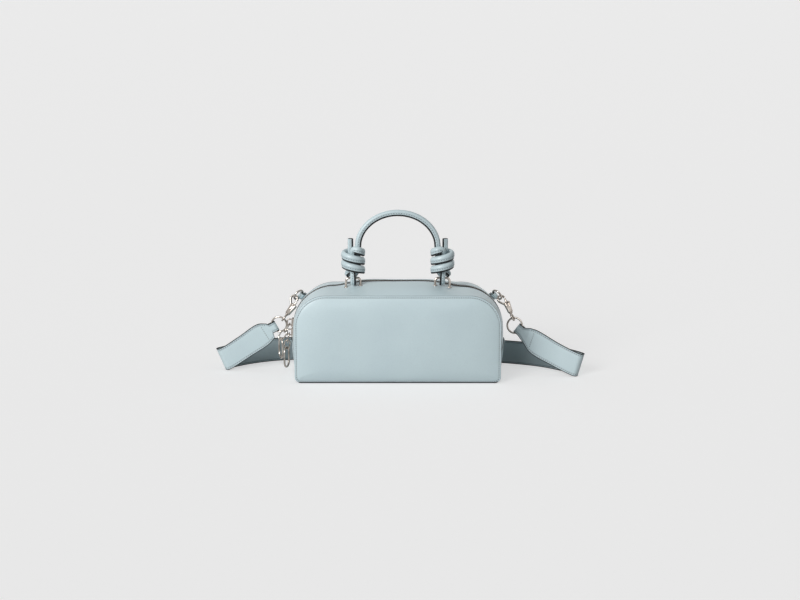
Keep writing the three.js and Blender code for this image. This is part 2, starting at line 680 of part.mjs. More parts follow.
// Rope stations of the left knot in its own axes, from the tail's end to the arch.
function knotStations() {
  const list = [];
  const add = (x, y, z, nx, ny, nz, flat = 0) => {
    list.push({ point: vec(x, y, z), out: vec(nx, ny, nz).normalize(), flat });
  };
  const radial = (x, y, z, flat) => add(x, y, z, x, y, 0, flat);
  for (const z of [TAIL_LENGTH, 12, 0, -9]) {
    radial(tail.x, tail.y, z, 0);
  }
  radial(-4.6, 3.9, -15, 0);
  radial(-7.4, 6.6, -18.6, 0.2);
  radial(-7, 10, -18.4, 0.5);
  const steps = Math.round(WRAP_TURNS * 12);
  for (let i = steps; i >= 0; i -= 1) {
    const angle = rad(WRAP_START_ANGLE + (360 * WRAP_TURNS * i) / steps);
    const z = WRAP_TOP - (WRAP_PITCH * WRAP_TURNS * i) / steps;
    radial(WRAP_RADIUS * Math.cos(angle), WRAP_RADIUS * Math.sin(angle), z, 1);
  }
  radial(6.2, -10.2, 13.4, 0.9);
  radial(1.2, -8.2, 13.2, 0.5);
  radial(rising.x, rising.y - 0.6, 7.5, 0);
  for (const z of [-2, -12]) {
    radial(rising.x, rising.y, z, 0);
  }
  for (const degrees of [180, 225, 270, 315, 360]) {
    const [y, z] = [Math.cos(rad(degrees)), Math.sin(rad(degrees))];
    add(0, loopRadius * y, barDrop + loopRadius * z, 0, y, z);
  }
  add(2.4, 3.6, -17.5, 0.6, 0.8, 0);
  for (const z of [-11, 0, 10]) {
    radial(standing.x, standing.y, z, 0);
  }
  return list;
}

// Arch from the left knot over to the right one.
function archStations() {
  const low = KNOT_HEIGHT + 16;
  const reach = HANDLE_SPACING / 2 - standing.x - 1.2;
  const rise = HANDLE_TOP - ropeHalf - low;
  const steps = 16;
  return Array.from({ length: steps + 1 }, (_, i) => {
    const turn = Math.PI * (1 - i / steps);
    const point = vec(reach * Math.cos(turn), HANDLE_Y, low + rise * Math.sin(turn));
    return { point, out: vec(-Math.cos(turn), 0, -Math.sin(turn)), flat: 0 };
  });
}

function handleStations() {
  const left = knotStations().map(({ point, out, flat }) => ({
    point: point.clone().add(vec(-HANDLE_SPACING / 2, HANDLE_Y, KNOT_HEIGHT)), out, flat,
  }));
  const right = left.map(({ point, out, flat }) => ({
    point: vec(-point.x, point.y, point.z), out: vec(-out.x, out.y, out.z), flat,
  })).reverse();
  return [...left, ...archStations(), ...right];
}

// Rope rings at even steps: round in the strands, a flattened band in the wraps.
function ropeRings(stations, ringSides) {
  const curve = new THREE.CatmullRomCurve3(stations.map((s) => s.point), false, 'centripetal');
  curve.arcLengthDivisions = stations.length * 12;
  const count = Math.round(curve.getLength() / ROPE_STATION_STEP);
  return Array.from({ length: count + 1 }, (_, i) => {
    const t = curve.getUtoTmapping(i / count);
    const centre = curve.getPoint(t);
    const tangent = curve.getTangent(t);
    const place = Math.min(t * (stations.length - 1), stations.length - 1 - 1e-6);
    const [a, b] = [stations[Math.floor(place)], stations[Math.floor(place) + 1]];
    const share = place - Math.floor(place);
    const out = a.out.clone().lerp(b.out, share);
    out.addScaledVector(tangent, -out.dot(tangent)).normalize();
    const across = tangent.clone().cross(out);
    const flat = THREE.MathUtils.lerp(a.flat, b.flat, share);
    const thick = THREE.MathUtils.lerp(ROPE, WRAP_THICKNESS, flat) / 2;
    const tall = THREE.MathUtils.lerp(ROPE, WRAP_HEIGHT, flat) / 2;
    return Array.from({ length: ringSides }, (_, k) => {
      const turn = (k / ringSides) * 2 * Math.PI;
      return centre.clone()
        .addScaledVector(out, thick * Math.cos(turn))
        .addScaledVector(across, tall * Math.sin(turn));
    });
  });
}

// Least distance between the rope's skins where it passes itself.
function leastSelfGap(rings) {
  const apart = Math.ceil((3.2 * ROPE) / ROPE_STATION_STEP);
  let least = Infinity;
  for (let i = 0; i < rings.length; i += 1) {
    for (let j = i + apart; j < rings.length; j += 1) {
      if (rings[i][0].distanceTo(rings[j][0]) < 4 * ROPE) {
        for (const p of rings[i]) {
          for (const q of rings[j]) {
            least = Math.min(least, p.distanceTo(q));
          }
        }
      }
    }
  }
  return least;
}

const handleRings = ropeRings(handleStations(), 8);
console.log(`handle: least gap to itself ${leastSelfGap(ropeRings(handleStations(), 24)).toFixed(2)} mm`);
addPiece('handle', skinRings(handleRings), paleLeather());

// Ribbon of leather along stations that give its middle, its width direction and its facing side.
function ribbon(stations, thickness) {
  const layer = (side) => stations.map(({ middle, across, face, width }) => [-0.5, 0.5].map((share) => (
    middle.clone().addScaledVector(across, share * width).addScaledVector(face, (side * thickness) / 2))));
  return skinSheet(layer(1), layer(-1));
}

// Strap ends: tab and ring on the shoulder, bolt snap, strap ring

const clawCentre = vec(-(BOLT_DIAMETER + CLAW_HOLE) / 2, 0, HOOK_BLOCK_LENGTH + 5);
const grip = clawCentre.clone().add(vec(0, 0, (CLAW_HOLE - END_RING_WIRE) / 2 - GRIP_GAP));
const boreLow = 4;
const boltTip = clawCentre.z - 0.4;
const boltLow = boreLow + BOLT_TRAVEL + 3.4;

function hookBodyGeometry() {
  const half = HOOK_BLOCK_WIDTH / 2;
  const block = new THREE.Shape();
  block.moveTo(-half + 0.8, 0);
  block.lineTo(half - 0.8, 0);
  block.lineTo(half, 2);
  block.lineTo(half, HOOK_BLOCK_LENGTH - 2);
  block.lineTo(half - 1.6, HOOK_BLOCK_LENGTH);
  block.lineTo(-half, HOOK_BLOCK_LENGTH);
  block.lineTo(-half, 2);
  const inner = CLAW_HOLE / 2;
  const outer = inner + CLAW_WIDTH;
  const claw = new THREE.Shape();
  claw.moveTo(1 - half, HOOK_BLOCK_LENGTH - 7);
  claw.absarc(clawCentre.x, clawCentre.z, outer, rad(238), rad(8), true);
  claw.absarc(clawCentre.x, clawCentre.z, inner, rad(8), rad(225), false);
  claw.lineTo(1 - half, HOOK_BLOCK_LENGTH - 0.5);
  const boreDiameter = BOLT_DIAMETER + 2 * BORE_GAP;
  const bore = roundBar(boreDiameter, boreLow, HOOK_BLOCK_LENGTH + 1);
  const slotWidth = KNOB_DIAMETER + 2 * BORE_GAP;
  const slotTop = HOOK_BLOCK_LENGTH + 1;
  const slotLow = boltLow - BOLT_TRAVEL;
  const slot = new THREE.BoxGeometry(slotWidth, HOOK_THICKNESS, slotTop - slotLow);
  slot.translate(0, -HOOK_THICKNESS / 2, (slotTop + slotLow) / 2);
  const postBore = roundBar(POST_DIAMETER + 2 * BORE_GAP, -1, 1.8);
  const headBore = roundBar(POST_HEAD + 2 * BORE_GAP, 1.2, 3.2);
  const whole = join(plateXZ(block, HOOK_THICKNESS), plateXZ(claw, CLAW_THICKNESS));
  return cut(whole, bore, slot, postBore, headBore);
}

function boltGeometry() {
  const rod = roundBar(BOLT_DIAMETER, boltLow, boltTip, 10);
  const reach = HOOK_THICKNESS / 2 + KNOB_REACH;
  const knob = new THREE.CylinderGeometry(KNOB_DIAMETER / 2, KNOB_DIAMETER / 2, reach, 10);
  return join(rod, knob.translate(0, -reach / 2, boltLow + KNOB_DIAMETER / 2 + 0.2));
}

// Spring drawn at its pressed length, under the bolt.
function springGeometry() {
  const radius = (BOLT_DIAMETER - SPRING_WIRE) / 2 + 0.1;
  const low = boreLow + SPRING_WIRE / 2 + 0.1;
  const high = boltLow - BOLT_TRAVEL - SPRING_WIRE / 2 - 0.2;
  const steps = SPRING_TURNS * 8;
  const points = Array.from({ length: steps + 1 }, (_, i) => {
    const turn = (i / steps) * SPRING_TURNS * 2 * Math.PI;
    return vec(radius * Math.cos(turn), radius * Math.sin(turn), THREE.MathUtils.lerp(low, high, i / steps));
  });
  const rings = points.map((point) => {
    const out = vec(point.x, point.y, 0).normalize();
    return Array.from({ length: 5 }, (_, k) => {
      const turn = (k / 5) * 2 * Math.PI;
      const shifted = point.clone().addScaledVector(out, (Math.cos(turn) * SPRING_WIRE) / 2);
      return shifted.add(vec(0, 0, (Math.sin(turn) * SPRING_WIRE) / 2));
    });
  });
  return skinRings(rings);
}

// Eye, post and captive head; the eye stands in the plane of Y and Z.
function swivelGeometry() {
  const eyeWidth = 2 * EYE_RADIUS;
  const eye = ovalRing(vec(0, 0, -EYE_DROP), vec(0, 0, 1), vec(0, 1, 0), eyeWidth, eyeWidth, EYE_WIRE);
  const post = roundBar(POST_DIAMETER, EYE_RADIUS - EYE_DROP, 2.2);
  const head = roundBar(POST_HEAD, 1.55, 2.85);
  return join(eye, post, head);
}

function tabStations(hand, outward, climb) {
  const ringSag = END_RING_RADIUS - Math.sqrt(END_RING_RADIUS ** 2 - (TAB_WIDTH / 2) ** 2);
  const foldRadius = (END_RING_WIRE + TAB_LEATHER + ringSag) / 2 + WIRE_GAP;
  const bulge = SHOULDER_BULGE * (1 - (TAB_FOLD / BAND_EDGE) ** 2);
  const foldRise = bulge + SEAM_GAP + TAB_LEATHER / 2 + foldRadius;
  const lowRise = (y) => SHOULDER_BULGE * (1 - (y / BAND_EDGE) ** 2) + SEAM_GAP + TAB_LEATHER / 2;
  const slope = 0.62 * (TAB_START - TAB_FOLD);
  const highRise = (y) => {
    const rest = lowRise(y) + TAB_LEATHER + SEAM_GAP;
    const lifted = foldRise + foldRadius;
    return THREE.MathUtils.lerp(lifted, rest, smooth((y - TAB_FOLD) / slope));
  };
  const path = spread(TAB_START, TAB_FOLD, [0, 1 / 3, 2 / 3]).map((y) => [y, lowRise(y), 0, -1]);
  for (const degrees of [-90, -135, -180, -225, -270]) {
    const [c, s] = [Math.cos(rad(degrees)), Math.sin(rad(degrees))];
    path.push([TAB_FOLD + foldRadius * c, foldRise + foldRadius * s, c, s]);
  }
  const back = spread(TAB_FOLD, TAB_START, [0.19, 0.38, 0.62, 1]);
  path.push(...back.map((y) => [y, highRise(y), 0, 1]));
  const base = vec(hand * SHOULDER_X, 0, SHOULDER_Z).addScaledVector(outward, SHOULDER_RADIUS);
  const stations = path.map(([y, rise, faceY, faceOut]) => ({
    middle: base.clone().addScaledVector(outward, rise).setY(y),
    across: climb,
    face: vec(0, faceY, 0).addScaledVector(outward, faceOut),
    width: TAB_WIDTH,
  }));
  const fold = base.clone().addScaledVector(outward, foldRise).setY(TAB_FOLD);
  return { stations, fold, ringSag };
}

// Directions of the pull on each snap and of the strap on each ring.
const strapEnds = [
  { name: 'right', hand: 1, pull: vec(18.2, -11.8, -28.3), hang: vec(0.3, 0, -0.95),
    strapWay: vec(0.72, -0.36, -0.6), strapUp: vec(0.41, 0, 0.91) },
  { name: 'left', hand: -1, pull: vec(-12, -2.3, -22.1), hang: vec(-0.62, 0, -0.78),
    strapWay: vec(-0.86, 0.2, -0.47), strapUp: vec(-0.55, 0, 0.83) },
];

for (const end of strapEnds) {
  const { name, hand } = end;
  const outward = vec(hand * Math.cos(rad(TAB_ANGLE)), 0, Math.sin(rad(TAB_ANGLE)));
  const climb = vec(-hand * Math.sin(rad(TAB_ANGLE)), 0, Math.cos(rad(TAB_ANGLE)));
  const { stations, fold, ringSag } = tabStations(hand, outward, climb);
  addPiece(`ring_tab_${name}`, ribbon(stations, TAB_LEATHER), paleLeather());

  const lift = rad(END_RING_LIFT);
  const reach = vec(0, -Math.cos(lift), 0).addScaledVector(outward, Math.sin(lift));
  const wire = fold.addScaledVector(reach, -ringSag / 2);
  const ringCentre = wire.clone().addScaledVector(reach, END_RING_RADIUS);
  addPiece(`end_ring_${name}`,
    ovalRing(ringCentre, reach, climb, 2 * END_RING_RADIUS, 2 * END_RING_RADIUS, END_RING_WIRE, 9), nickel());

  // The claw grips the ring's lowest wire, and the eye lies along the pull from there.
  const [gripSin, gripCos] = [Math.sin(rad(GRIP_ANGLE)), Math.cos(rad(GRIP_ANGLE))];
  const gripPoint = ringCentre.clone()
    .addScaledVector(climb, -END_RING_RADIUS * gripCos)
    .addScaledVector(reach, END_RING_RADIUS * gripSin);
  const ringWay = reach.clone().multiplyScalar(gripCos).addScaledVector(climb, gripSin);
  const pull = end.pull.clone().normalize();
  const through = ringWay.addScaledVector(pull, -ringWay.dot(pull)).normalize().negate();
  const eyeLocal = vec(0, 0, -EYE_DROP).sub(grip);
  const reachLength = eyeLocal.length();
  const aside = pull.clone().cross(through);
  const hookX = pull.clone().multiplyScalar(eyeLocal.x / reachLength)
    .addScaledVector(aside, -eyeLocal.z / reachLength);
  const hookZ = pull.clone().multiplyScalar(eyeLocal.z / reachLength)
    .addScaledVector(aside, eyeLocal.x / reachLength);
  const hookY = hookZ.clone().cross(hookX);
  const origin = gripPoint.clone().addScaledVector(hookX, -grip.x).addScaledVector(hookZ, -grip.z);
  const hook = placed(origin, hookX, hookY, hookZ);
  addPiece(`hook_body_${name}`, hookBodyGeometry(), nickel(), hook);
  addPiece(`hook_bolt_${name}`, boltGeometry(), nickel(), hook);
  addPiece(`hook_spring_${name}`, springGeometry(), springSteel(), hook);

  // Strap ring, hanging in the eye and lying in the plane of the strap's tab.
  const strapWay = end.strapWay.clone().normalize();
  const strapUp = end.strapUp.clone().addScaledVector(strapWay, -end.strapUp.dot(strapWay)).normalize();
  const face = strapWay.clone().cross(strapUp).normalize();
  if (face.y > 0) {
    face.negate();
  }
  const hang = end.hang.clone().addScaledVector(face, -end.hang.dot(face)).normalize();
  const eyeCentre = origin.clone().addScaledVector(hookZ, -EYE_DROP);
  const slack = EYE_RADIUS - (EYE_WIRE + STRAP_RING_WIRE) / 2 - WIRE_GAP;
  const held = eyeCentre.clone().addScaledVector(hookZ, -slack);
  const strapRingCentre = held.clone().addScaledVector(hang, STRAP_RING_RADIUS);
  const ringSpan = 2 * STRAP_RING_RADIUS;
  const ringRun = face.clone().cross(hang);
  addPiece(`strap_ring_${name}`,
    ovalRing(strapRingCentre, hang, ringRun, ringSpan, ringSpan, STRAP_RING_WIRE, 11), nickel());
  const eyeNormal = ringRun.addScaledVector(hookZ, -ringRun.dot(hookZ)).normalize();
  const swivel = placed(origin, eyeNormal, hookZ.clone().cross(eyeNormal), hookZ);
  addPiece(`hook_swivel_${name}`, swivelGeometry(), nickel(), swivel);
  Object.assign(end, { strapWay, strapUp, face, strapRingCentre });
}

// Strap: it runs from the right ring to a fold on the floor, round behind the bag, and back to the left ring

// Stations of the fold round a strap ring, from its turned-back end to its outer side.
function strapTab(end) {
  const { strapRingCentre, strapWay, strapUp, face } = end;
  const foldRadius = STRAP_RING_WIRE / 2 + WIRE_GAP + STRAP_LEATHER / 2;
  const apex = Math.sqrt(STRAP_RING_RADIUS ** 2 - (STRAP_TAB_WIDTH / 2) ** 2) - WIRE_GAP;
  const at = (way, out, faceWay, faceOut) => ({
    middle: strapRingCentre.clone().addScaledVector(strapWay, way).addScaledVector(face, out),
    across: strapUp,
    face: face.clone().multiplyScalar(faceOut).addScaledVector(strapWay, faceWay),
    width: STRAP_TAB_WIDTH,
  });
  const list = [at(STRAP_TAB_RETURN, -foldRadius, 0, -1)];
  for (const degrees of [270, 225, 180, 135, 90]) {
    const [c, s] = [Math.cos(rad(degrees)), Math.sin(rad(degrees))];
    list.push(at(apex + foldRadius * c, foldRadius * s, c, s));
  }
  list.push(at(STRAP_RING_RADIUS + STRAP_RING_WIRE, foldRadius, 0, 1));
  return list;
}

const [rightEnd, leftEnd] = strapEnds;

// Lower edge, width direction and width of the strap at one place of its route.
function strapPlace([halfWidths, aside], [halfDepths, back], up, rise = 0, share = 1) {
  const edge = vec(
    halfWidths * HALF_WIDTH + aside * STRAP_WIDTH,
    halfDepths * HALF_DEPTH + back * STRAP_WIDTH,
    Math.max(FLOOR_GAP, rise * STRAP_WIDTH),
  );
  return [edge, up, share * STRAP_WIDTH];
}

// Lower edge and width direction along the strap, from the right tab to the left one. Each place is a number
// of half widths and half depths of the bag, with offsets in strap widths; with no height it is on the floor.
const strapRoute = [
  strapPlace([1, 1.05], [0, 0.0867], vec(0.37, 0, 0.93), 1.2833, 0.7333),
  strapPlace([1, 1.3], [0, 0], vec(0.3, 0, 0.954), 0.9333),
  strapPlace([1, 2.2333], [0, -0.25], vec(0.287, 0, 0.958), 0.4167),
  strapPlace([1, 2.9], [0, -0.4667], vec(0.28, 0, 0.96), 0.1067),
  strapPlace([1, 3.15], [0, -0.52], vec(0.28, 0, 0.96)),
  strapPlace([1, 3.2733], [0, -0.42], vec(0.28, 0, 0.96)),
  strapPlace([1, 3.2333], [0, -0.25], vec(0.28, 0.02, 0.96)),
  strapPlace([1, 2.6333], [0, 0.6333], vec(0.2, 0.05, 0.98)),
  strapPlace([1, 1.7667], [0, 1.4667], vec(0.1, 0.08, 0.99)),
  strapPlace([1, 0.4333], [1, 0.3], vec(0.04, 0.1, 0.99)),
  strapPlace([1, -1.2667], [1, 0.8], vec(0, 0.08, 1)),
  strapPlace([0, 0], [1, 1.1667], vec(0, 0, 1)),
  strapPlace([-1, 1.2667], [1, 1.2], vec(0, 0.06, 1)),
  strapPlace([-1, -0.8], [1, 0.9333], vec(-0.06, 0.1, 0.99)),
  strapPlace([-1, -2.0333], [1, 0.2333], vec(-0.15, 0.1, 0.98)),
  strapPlace([-1, -2.9167], [0, 1.1167], vec(-0.34, 0.08, 0.93)),
  strapPlace([-1, -3.0667], [0, 0.9133], vec(-0.4, 0.06, 0.91)),
  strapPlace([-1, -2.9667], [0, 0.7667], vec(-0.41, 0.03, 0.91)),
  strapPlace([-1, -2.7], [0, 0.7533], vec(-0.42, 0, 0.9), 0.1533),
  strapPlace([-1, -2.05], [0, 0.7467], vec(-0.44, 0, 0.9), 0.5833),
  strapPlace([-1, -1.2], [0, 0.72], vec(-0.5, 0, 0.865), 1.15),
  strapPlace([-1, -0.9667], [0, 0.7], vec(-0.52, 0, 0.85), 1.4167, 0.7333),
];

// Smooth stations along the route, all facing outwards from the loop.
function routeStations() {
  const lower = new THREE.CatmullRomCurve3(strapRoute.map(([edge]) => edge));
  const upper = new THREE.CatmullRomCurve3(strapRoute.map(([edge, up, width]) => (
    edge.clone().addScaledVector(up.clone().normalize(), width))));
  const count = 4 * (strapRoute.length - 1);
  return Array.from({ length: count + 1 }, (_, i) => {
    const [low, high] = [lower.getPoint(i / count), upper.getPoint(i / count)];
    const way = lower.getTangent(i / count);
    const across = high.clone().sub(low).normalize();
    return {
      middle: low.clone().lerp(high, 0.5),
      across,
      face: across.clone().cross(way).negate().normalize(),
      width: high.distanceTo(low),
    };
  });
}

const route = routeStations();
const leftTab = strapTab(leftEnd).reverse();
addPiece('strap_outer', ribbon([...strapTab(rightEnd), ...route, ...leftTab], STRAP_LEATHER), paleLeather());
const liningShift = -(STRAP_LEATHER + STRAP_LINING) / 2 - STRAP_SEAM_GAP;
const liningRoute = route.slice(1, -1).map(({ middle, across, face, width }) => ({
  middle: middle.clone().addScaledVector(face, liningShift), across, face, width: width - 1,
}));
addPiece('strap_lining', ribbon(liningRoute, STRAP_LINING), darkLeather());

export default bag;
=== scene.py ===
"""Small zip-top bowling bag in pale leather, with a knotted rope handle and a clip-on shoulder strap."""

import logging
from dataclasses import dataclass, field
from enum import Enum
from functools import cache
from math import asin, copysign, cos, exp, pi, radians, sin, sqrt
from typing import Callable, Iterable, Sequence

import bpy
import numpy as np
from mathutils import Matrix, Vector


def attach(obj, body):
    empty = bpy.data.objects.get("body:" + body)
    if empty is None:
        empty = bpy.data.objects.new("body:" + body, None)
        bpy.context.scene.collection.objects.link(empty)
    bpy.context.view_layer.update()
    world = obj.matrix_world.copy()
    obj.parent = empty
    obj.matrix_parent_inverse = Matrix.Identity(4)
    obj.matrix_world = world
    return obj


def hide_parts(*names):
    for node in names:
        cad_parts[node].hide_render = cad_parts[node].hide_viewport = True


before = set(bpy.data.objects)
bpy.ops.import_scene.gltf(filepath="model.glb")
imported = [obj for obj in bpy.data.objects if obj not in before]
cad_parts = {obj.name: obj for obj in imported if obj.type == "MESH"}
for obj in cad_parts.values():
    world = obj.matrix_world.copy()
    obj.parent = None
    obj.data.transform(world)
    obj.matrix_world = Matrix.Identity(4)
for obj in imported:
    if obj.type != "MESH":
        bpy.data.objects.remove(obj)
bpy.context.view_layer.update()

MM = 0.001
LOG = logging.getLogger("bowling_bag")

Triple = tuple[float, float, float]
Colour = tuple[float, float, float, float]
Array = np.ndarray
Item = bpy.types.Object
Tree = bpy.types.NodeTree
Node = bpy.types.Node
Socket = bpy.types.NodeSocket
Value = Socket | float | Sequence[float]
Material = bpy.types.Material
X_AXIS, Y_AXIS, Z_AXIS = Vector((1, 0, 0)), Vector((0, 1, 0)), Vector((0, 0, 1))


class Body(Enum):
    """Moving bodies that the pieces ride on."""

    BAG = "bag"
    HANDLE = "handle"
    UPPER_SLIDER = "upper_slider"
    UPPER_LINK_A = "upper_link_a"
    UPPER_LINK_B = "upper_link_b"
    UPPER_RING = "upper_ring"
    LOWER_SLIDER = "lower_slider"
    LOWER_LINK_A = "lower_link_a"
    LOWER_LINK_B = "lower_link_b"
    LOWER_RING = "lower_ring"
    END_RING_LEFT = "end_ring_left"
    END_RING_RIGHT = "end_ring_right"
    HOOK_LEFT = "hook_left"
    HOOK_RIGHT = "hook_right"
    BOLT_LEFT = "bolt_left"
    BOLT_RIGHT = "bolt_right"


class Slot(Enum):
    """Material slots of the record."""

    PALE_LEATHER = "pale_leather"
    DARK_LEATHER = "dark_leather"
    LINING = "lining"
    ZIP_TAPE = "zip_tape"
    NICKEL = "nickel"
    STEEL = "steel"
    BOARD = "board"


class Side(Enum):
    """Front and back of the bag, as the sign of Y."""

    FRONT = -1
    BACK = 1


class Hand(Enum):
    """Left and right end of the bag, as the sign of X."""

    LEFT = -1
    RIGHT = 1


def linear(*channels: int) -> Colour:
    """Turn the channels of a display colour, 0 to 255, into a linear colour that covers fully."""
    shares = [value / 255 for value in channels]
    return (*(s / 12.92 if s <= 0.04045 else ((s + 0.055) / 1.055) ** 2.4 for s in shares), 1.0)


def smooth(t: float) -> float:
    """Ease from 0 to 1 with flat ends."""
    t = min(1.0, max(0.0, t))
    return t * t * (3 - 2 * t)


def blend(a: float, b: float, t: float) -> float:
    """Value between a and b at share t."""
    return a + (b - a) * t


def turned(degrees: float) -> tuple[float, float]:
    """Cosine and sine of an angle."""
    turn = radians(degrees)
    return cos(turn), sin(turn)


class Nodes:
    """A node tree, and short ways to add to it."""

    def __init__(self, tree: Tree) -> None:
        """Work on a tree."""
        self.tree = tree

    def put(self, target: Socket, value: Value) -> None:
        """Link a socket to an input, or set the input to a plain value.

        Args:
            target: The input.
            value: A socket or a plain value.
        """
        if isinstance(value, Socket):
            self.tree.links.new(value, target)
        else:
            target.default_value = value

    def node(self, kind: str, **values: Value) -> Node:
        """Add a shader node.

        Args:
            kind: Blender's name of the kind, without its prefix.
            **values: Sockets or plain values by input name, with _ for each space.

        Returns:
            The node.
        """
        node = self.tree.nodes.new(f"ShaderNode{kind}")
        for label, value in values.items():
            self.put(node.inputs[label.replace("_", " ")], value)
        return node

    def math(self, operation: str, first: Value, second: Value) -> Socket:
        """Add a math node.

        Args:
            operation: Blender's name of the operation.
            first: A socket or a number.
            second: A socket or a number.

        Returns:
            The result.
        """
        node = self.node("Math")
        node.operation = operation
        self.put(node.inputs[0], first)
        self.put(node.inputs[1], second)
        return node.outputs[0]

    def noise(self, vector: Socket, scale: Socket, detail: float, roughness: float = 0.5) -> Socket:
        """Noise texture at a scale."""
        node = self.node("TexNoise", Vector=vector, Scale=scale, Detail=detail, Roughness=roughness)
        return node.outputs["Fac"]

    def between(self, mask: Socket, low: Colour | Socket, high: Colour) -> Socket:
        """Colour that goes from low to high with a mask.

        Args:
            mask: The mask.
            low: Plain or linked colour where the mask is 0.
            high: Colour where the mask is 1.

        Returns:
            The colour.
        """
        mix = self.node("Mix")
        mix.data_type = "RGBA"
        for place, value in ((0, mask), (6, low), (7, high)):
            self.put(mix.inputs[place], value)
        return mix.outputs[2]

    def ranged(self, value: Socket, low: float, high: float, start: float = 0.3, end: float = 0.7) -> Socket:
        """Map a value to a range.

        Args:
            value: The value.
            low: Result at start.
            high: Result at end.
            start: Value that gives low.
            end: Value that gives high.

        Returns:
            The mapped value.
        """
        node = self.node("MapRange", Value=value, From_Min=start, From_Max=end, To_Min=low, To_Max=high)
        return node.outputs["Result"]

    def seen_rays(self) -> Socket:
        """Mask of the rays that show the background, also in metal and through glass.

        Returns:
            The mask.
        """
        rays = self.node("LightPath").outputs
        seen = self.math("MAXIMUM", rays["Is Camera Ray"], rays["Is Glossy Ray"])
        return self.math("MAXIMUM", seen, rays["Is Transmission Ray"])


class GroupNodes(Nodes):
    """A node group that several finishes share."""

    def __init__(self, name: str, inputs: dict[str, float], outputs: Sequence[str]) -> None:
        """Make an empty group with a Vector input and its other sockets.

        Args:
            name: Name of the group.
            inputs: Default of each value input.
            outputs: Names of the value outputs.
        """
        super().__init__(bpy.data.node_groups.new(name, "ShaderNodeTree"))
        sockets = self.tree.interface
        sockets.new_socket("Vector", in_out="INPUT", socket_type="NodeSocketVector")
        for label, default in inputs.items():
            socket = sockets.new_socket(label, in_out="INPUT", socket_type="NodeSocketFloat")
            socket.default_value = default
        for label in outputs:
            sockets.new_socket(label, in_out="OUTPUT", socket_type="NodeSocketFloat")
        self.source = self.tree.nodes.new("NodeGroupInput").outputs
        self.sink = self.tree.nodes.new("NodeGroupOutput").inputs

    def give(self, **values: Socket) -> Tree:
        """Link the group's outputs.

        Args:
            **values: Socket for each output.

        Returns:
            The group.
        """
        for label, value in values.items():
            self.put(self.sink[label], value)
        return self.tree


@cache
def leather_grain() -> Tree:
    """Fine leather grain: closed pores, creases between them and slow changes of tone.

    Returns:
        The group, with Height, Pores and Tone.
    """
    nodes = GroupNodes("leather_grain", {"Cells": 1100, "Drift": 14}, ["Height", "Pores", "Tone"])
    vector, scale = nodes.source["Vector"], nodes.source["Cells"]
    cells = nodes.node("TexVoronoi", Vector=vector, Scale=scale)
    cells.feature = "SMOOTH_F1"
    fine = nodes.noise(vector, nodes.math("MULTIPLY", scale, 0.28), 4)
    pores = nodes.math("MULTIPLY", cells.outputs["Distance"], 1.2)
    domed = nodes.math("SUBTRACT", 1.0, pores)
    height = nodes.math("ADD", nodes.math("MULTIPLY", domed, 0.55), nodes.math("MULTIPLY", fine, 0.6))
    return nodes.give(Height=height, Pores=pores, Tone=nodes.noise(vector, nodes.source["Drift"], 5, 0.6))


@cache
def metal_marks() -> Tree:
    """Handling marks on metal: hairlines and smeared patches.

    Returns:
        The group, with Hairlines and Smears.
    """
    nodes = GroupNodes("metal_marks", {"Fineness": 900}, ["Hairlines", "Smears"])
    vector, fineness = nodes.source["Vector"], nodes.source["Fineness"]
    stretch = nodes.node("Mapping", Vector=vector, Scale=(1.0, 1.0, 0.09), Rotation=(0.5, 0.35, 0.2))
    lines = nodes.noise(stretch.outputs["Vector"], fineness, 6)
    return nodes.give(Hairlines=lines, Smears=nodes.noise(vector, nodes.math("MULTIPLY", fineness, 0.16), 3))


@cache
def plain_weave() -> Tree:
    """Over-and-under weave on a piece's own metre-scaled map.

    Returns:
        The group, with Height and Shade.
    """
    nodes = GroupNodes("plain_weave", {"Threads": 1600, "Slub": 60}, ["Height", "Shade"])
    parts = nodes.node("SeparateXYZ", Vector=nodes.source["Vector"]).outputs
    turn = nodes.math("MULTIPLY", nodes.source["Threads"], pi)
    warp, weft = (nodes.math("SINE", nodes.math("MULTIPLY", parts[axis], turn), 0) for axis in "XY")
    height = nodes.math("ADD", nodes.math("MULTIPLY", nodes.math("MULTIPLY", warp, weft), 0.5), 0.5)
    slub = nodes.noise(nodes.source["Vector"], nodes.source["Slub"], 3)
    shade = nodes.math("ADD", nodes.math("MULTIPLY", height, 0.6), nodes.math("MULTIPLY", slub, 0.4))
    return nodes.give(Height=height, Shade=shade)


class MaterialNodes(Nodes):
    """A new material with its shader."""

    def __init__(self, name: str) -> None:
        """Make the material."""
        self.material = bpy.data.materials.new(name)
        self.material.use_nodes = True
        super().__init__(self.material.node_tree)
        self.shader = self.tree.nodes["Principled BSDF"]

    def group(self, tree: Tree, coords: str = "Object", **values: float) -> bpy.types.bpy_prop_collection:
        """Place a shared group.

        Args:
            tree: The group.
            coords: Kind of coordinates that it reads.
            **values: Numbers for its inputs.

        Returns:
            The outputs of the group's node.
        """
        node = self.node("Group")
        node.node_tree = tree
        self.put(node.inputs["Vector"], self.node("TexCoord").outputs[coords])
        for label, value in values.items():
            node.inputs[label].default_value = value
        return node.outputs

    def shade(self, **values: Value) -> None:
        """Link or set the shader's inputs by name, with _ for each space."""
        for label, value in values.items():
            self.put(self.shader.inputs[label.replace("_", " ")], value)

    def bump(self, height: Socket, distance: float, strength: float = 1.0) -> None:
        """Feed the shader's normal from a height, with the relief's depth in metres and its share."""
        relief = self.node("Bump", Strength=strength, Distance=distance, Height=height)
        self.shade(Normal=relief.outputs["Normal"])


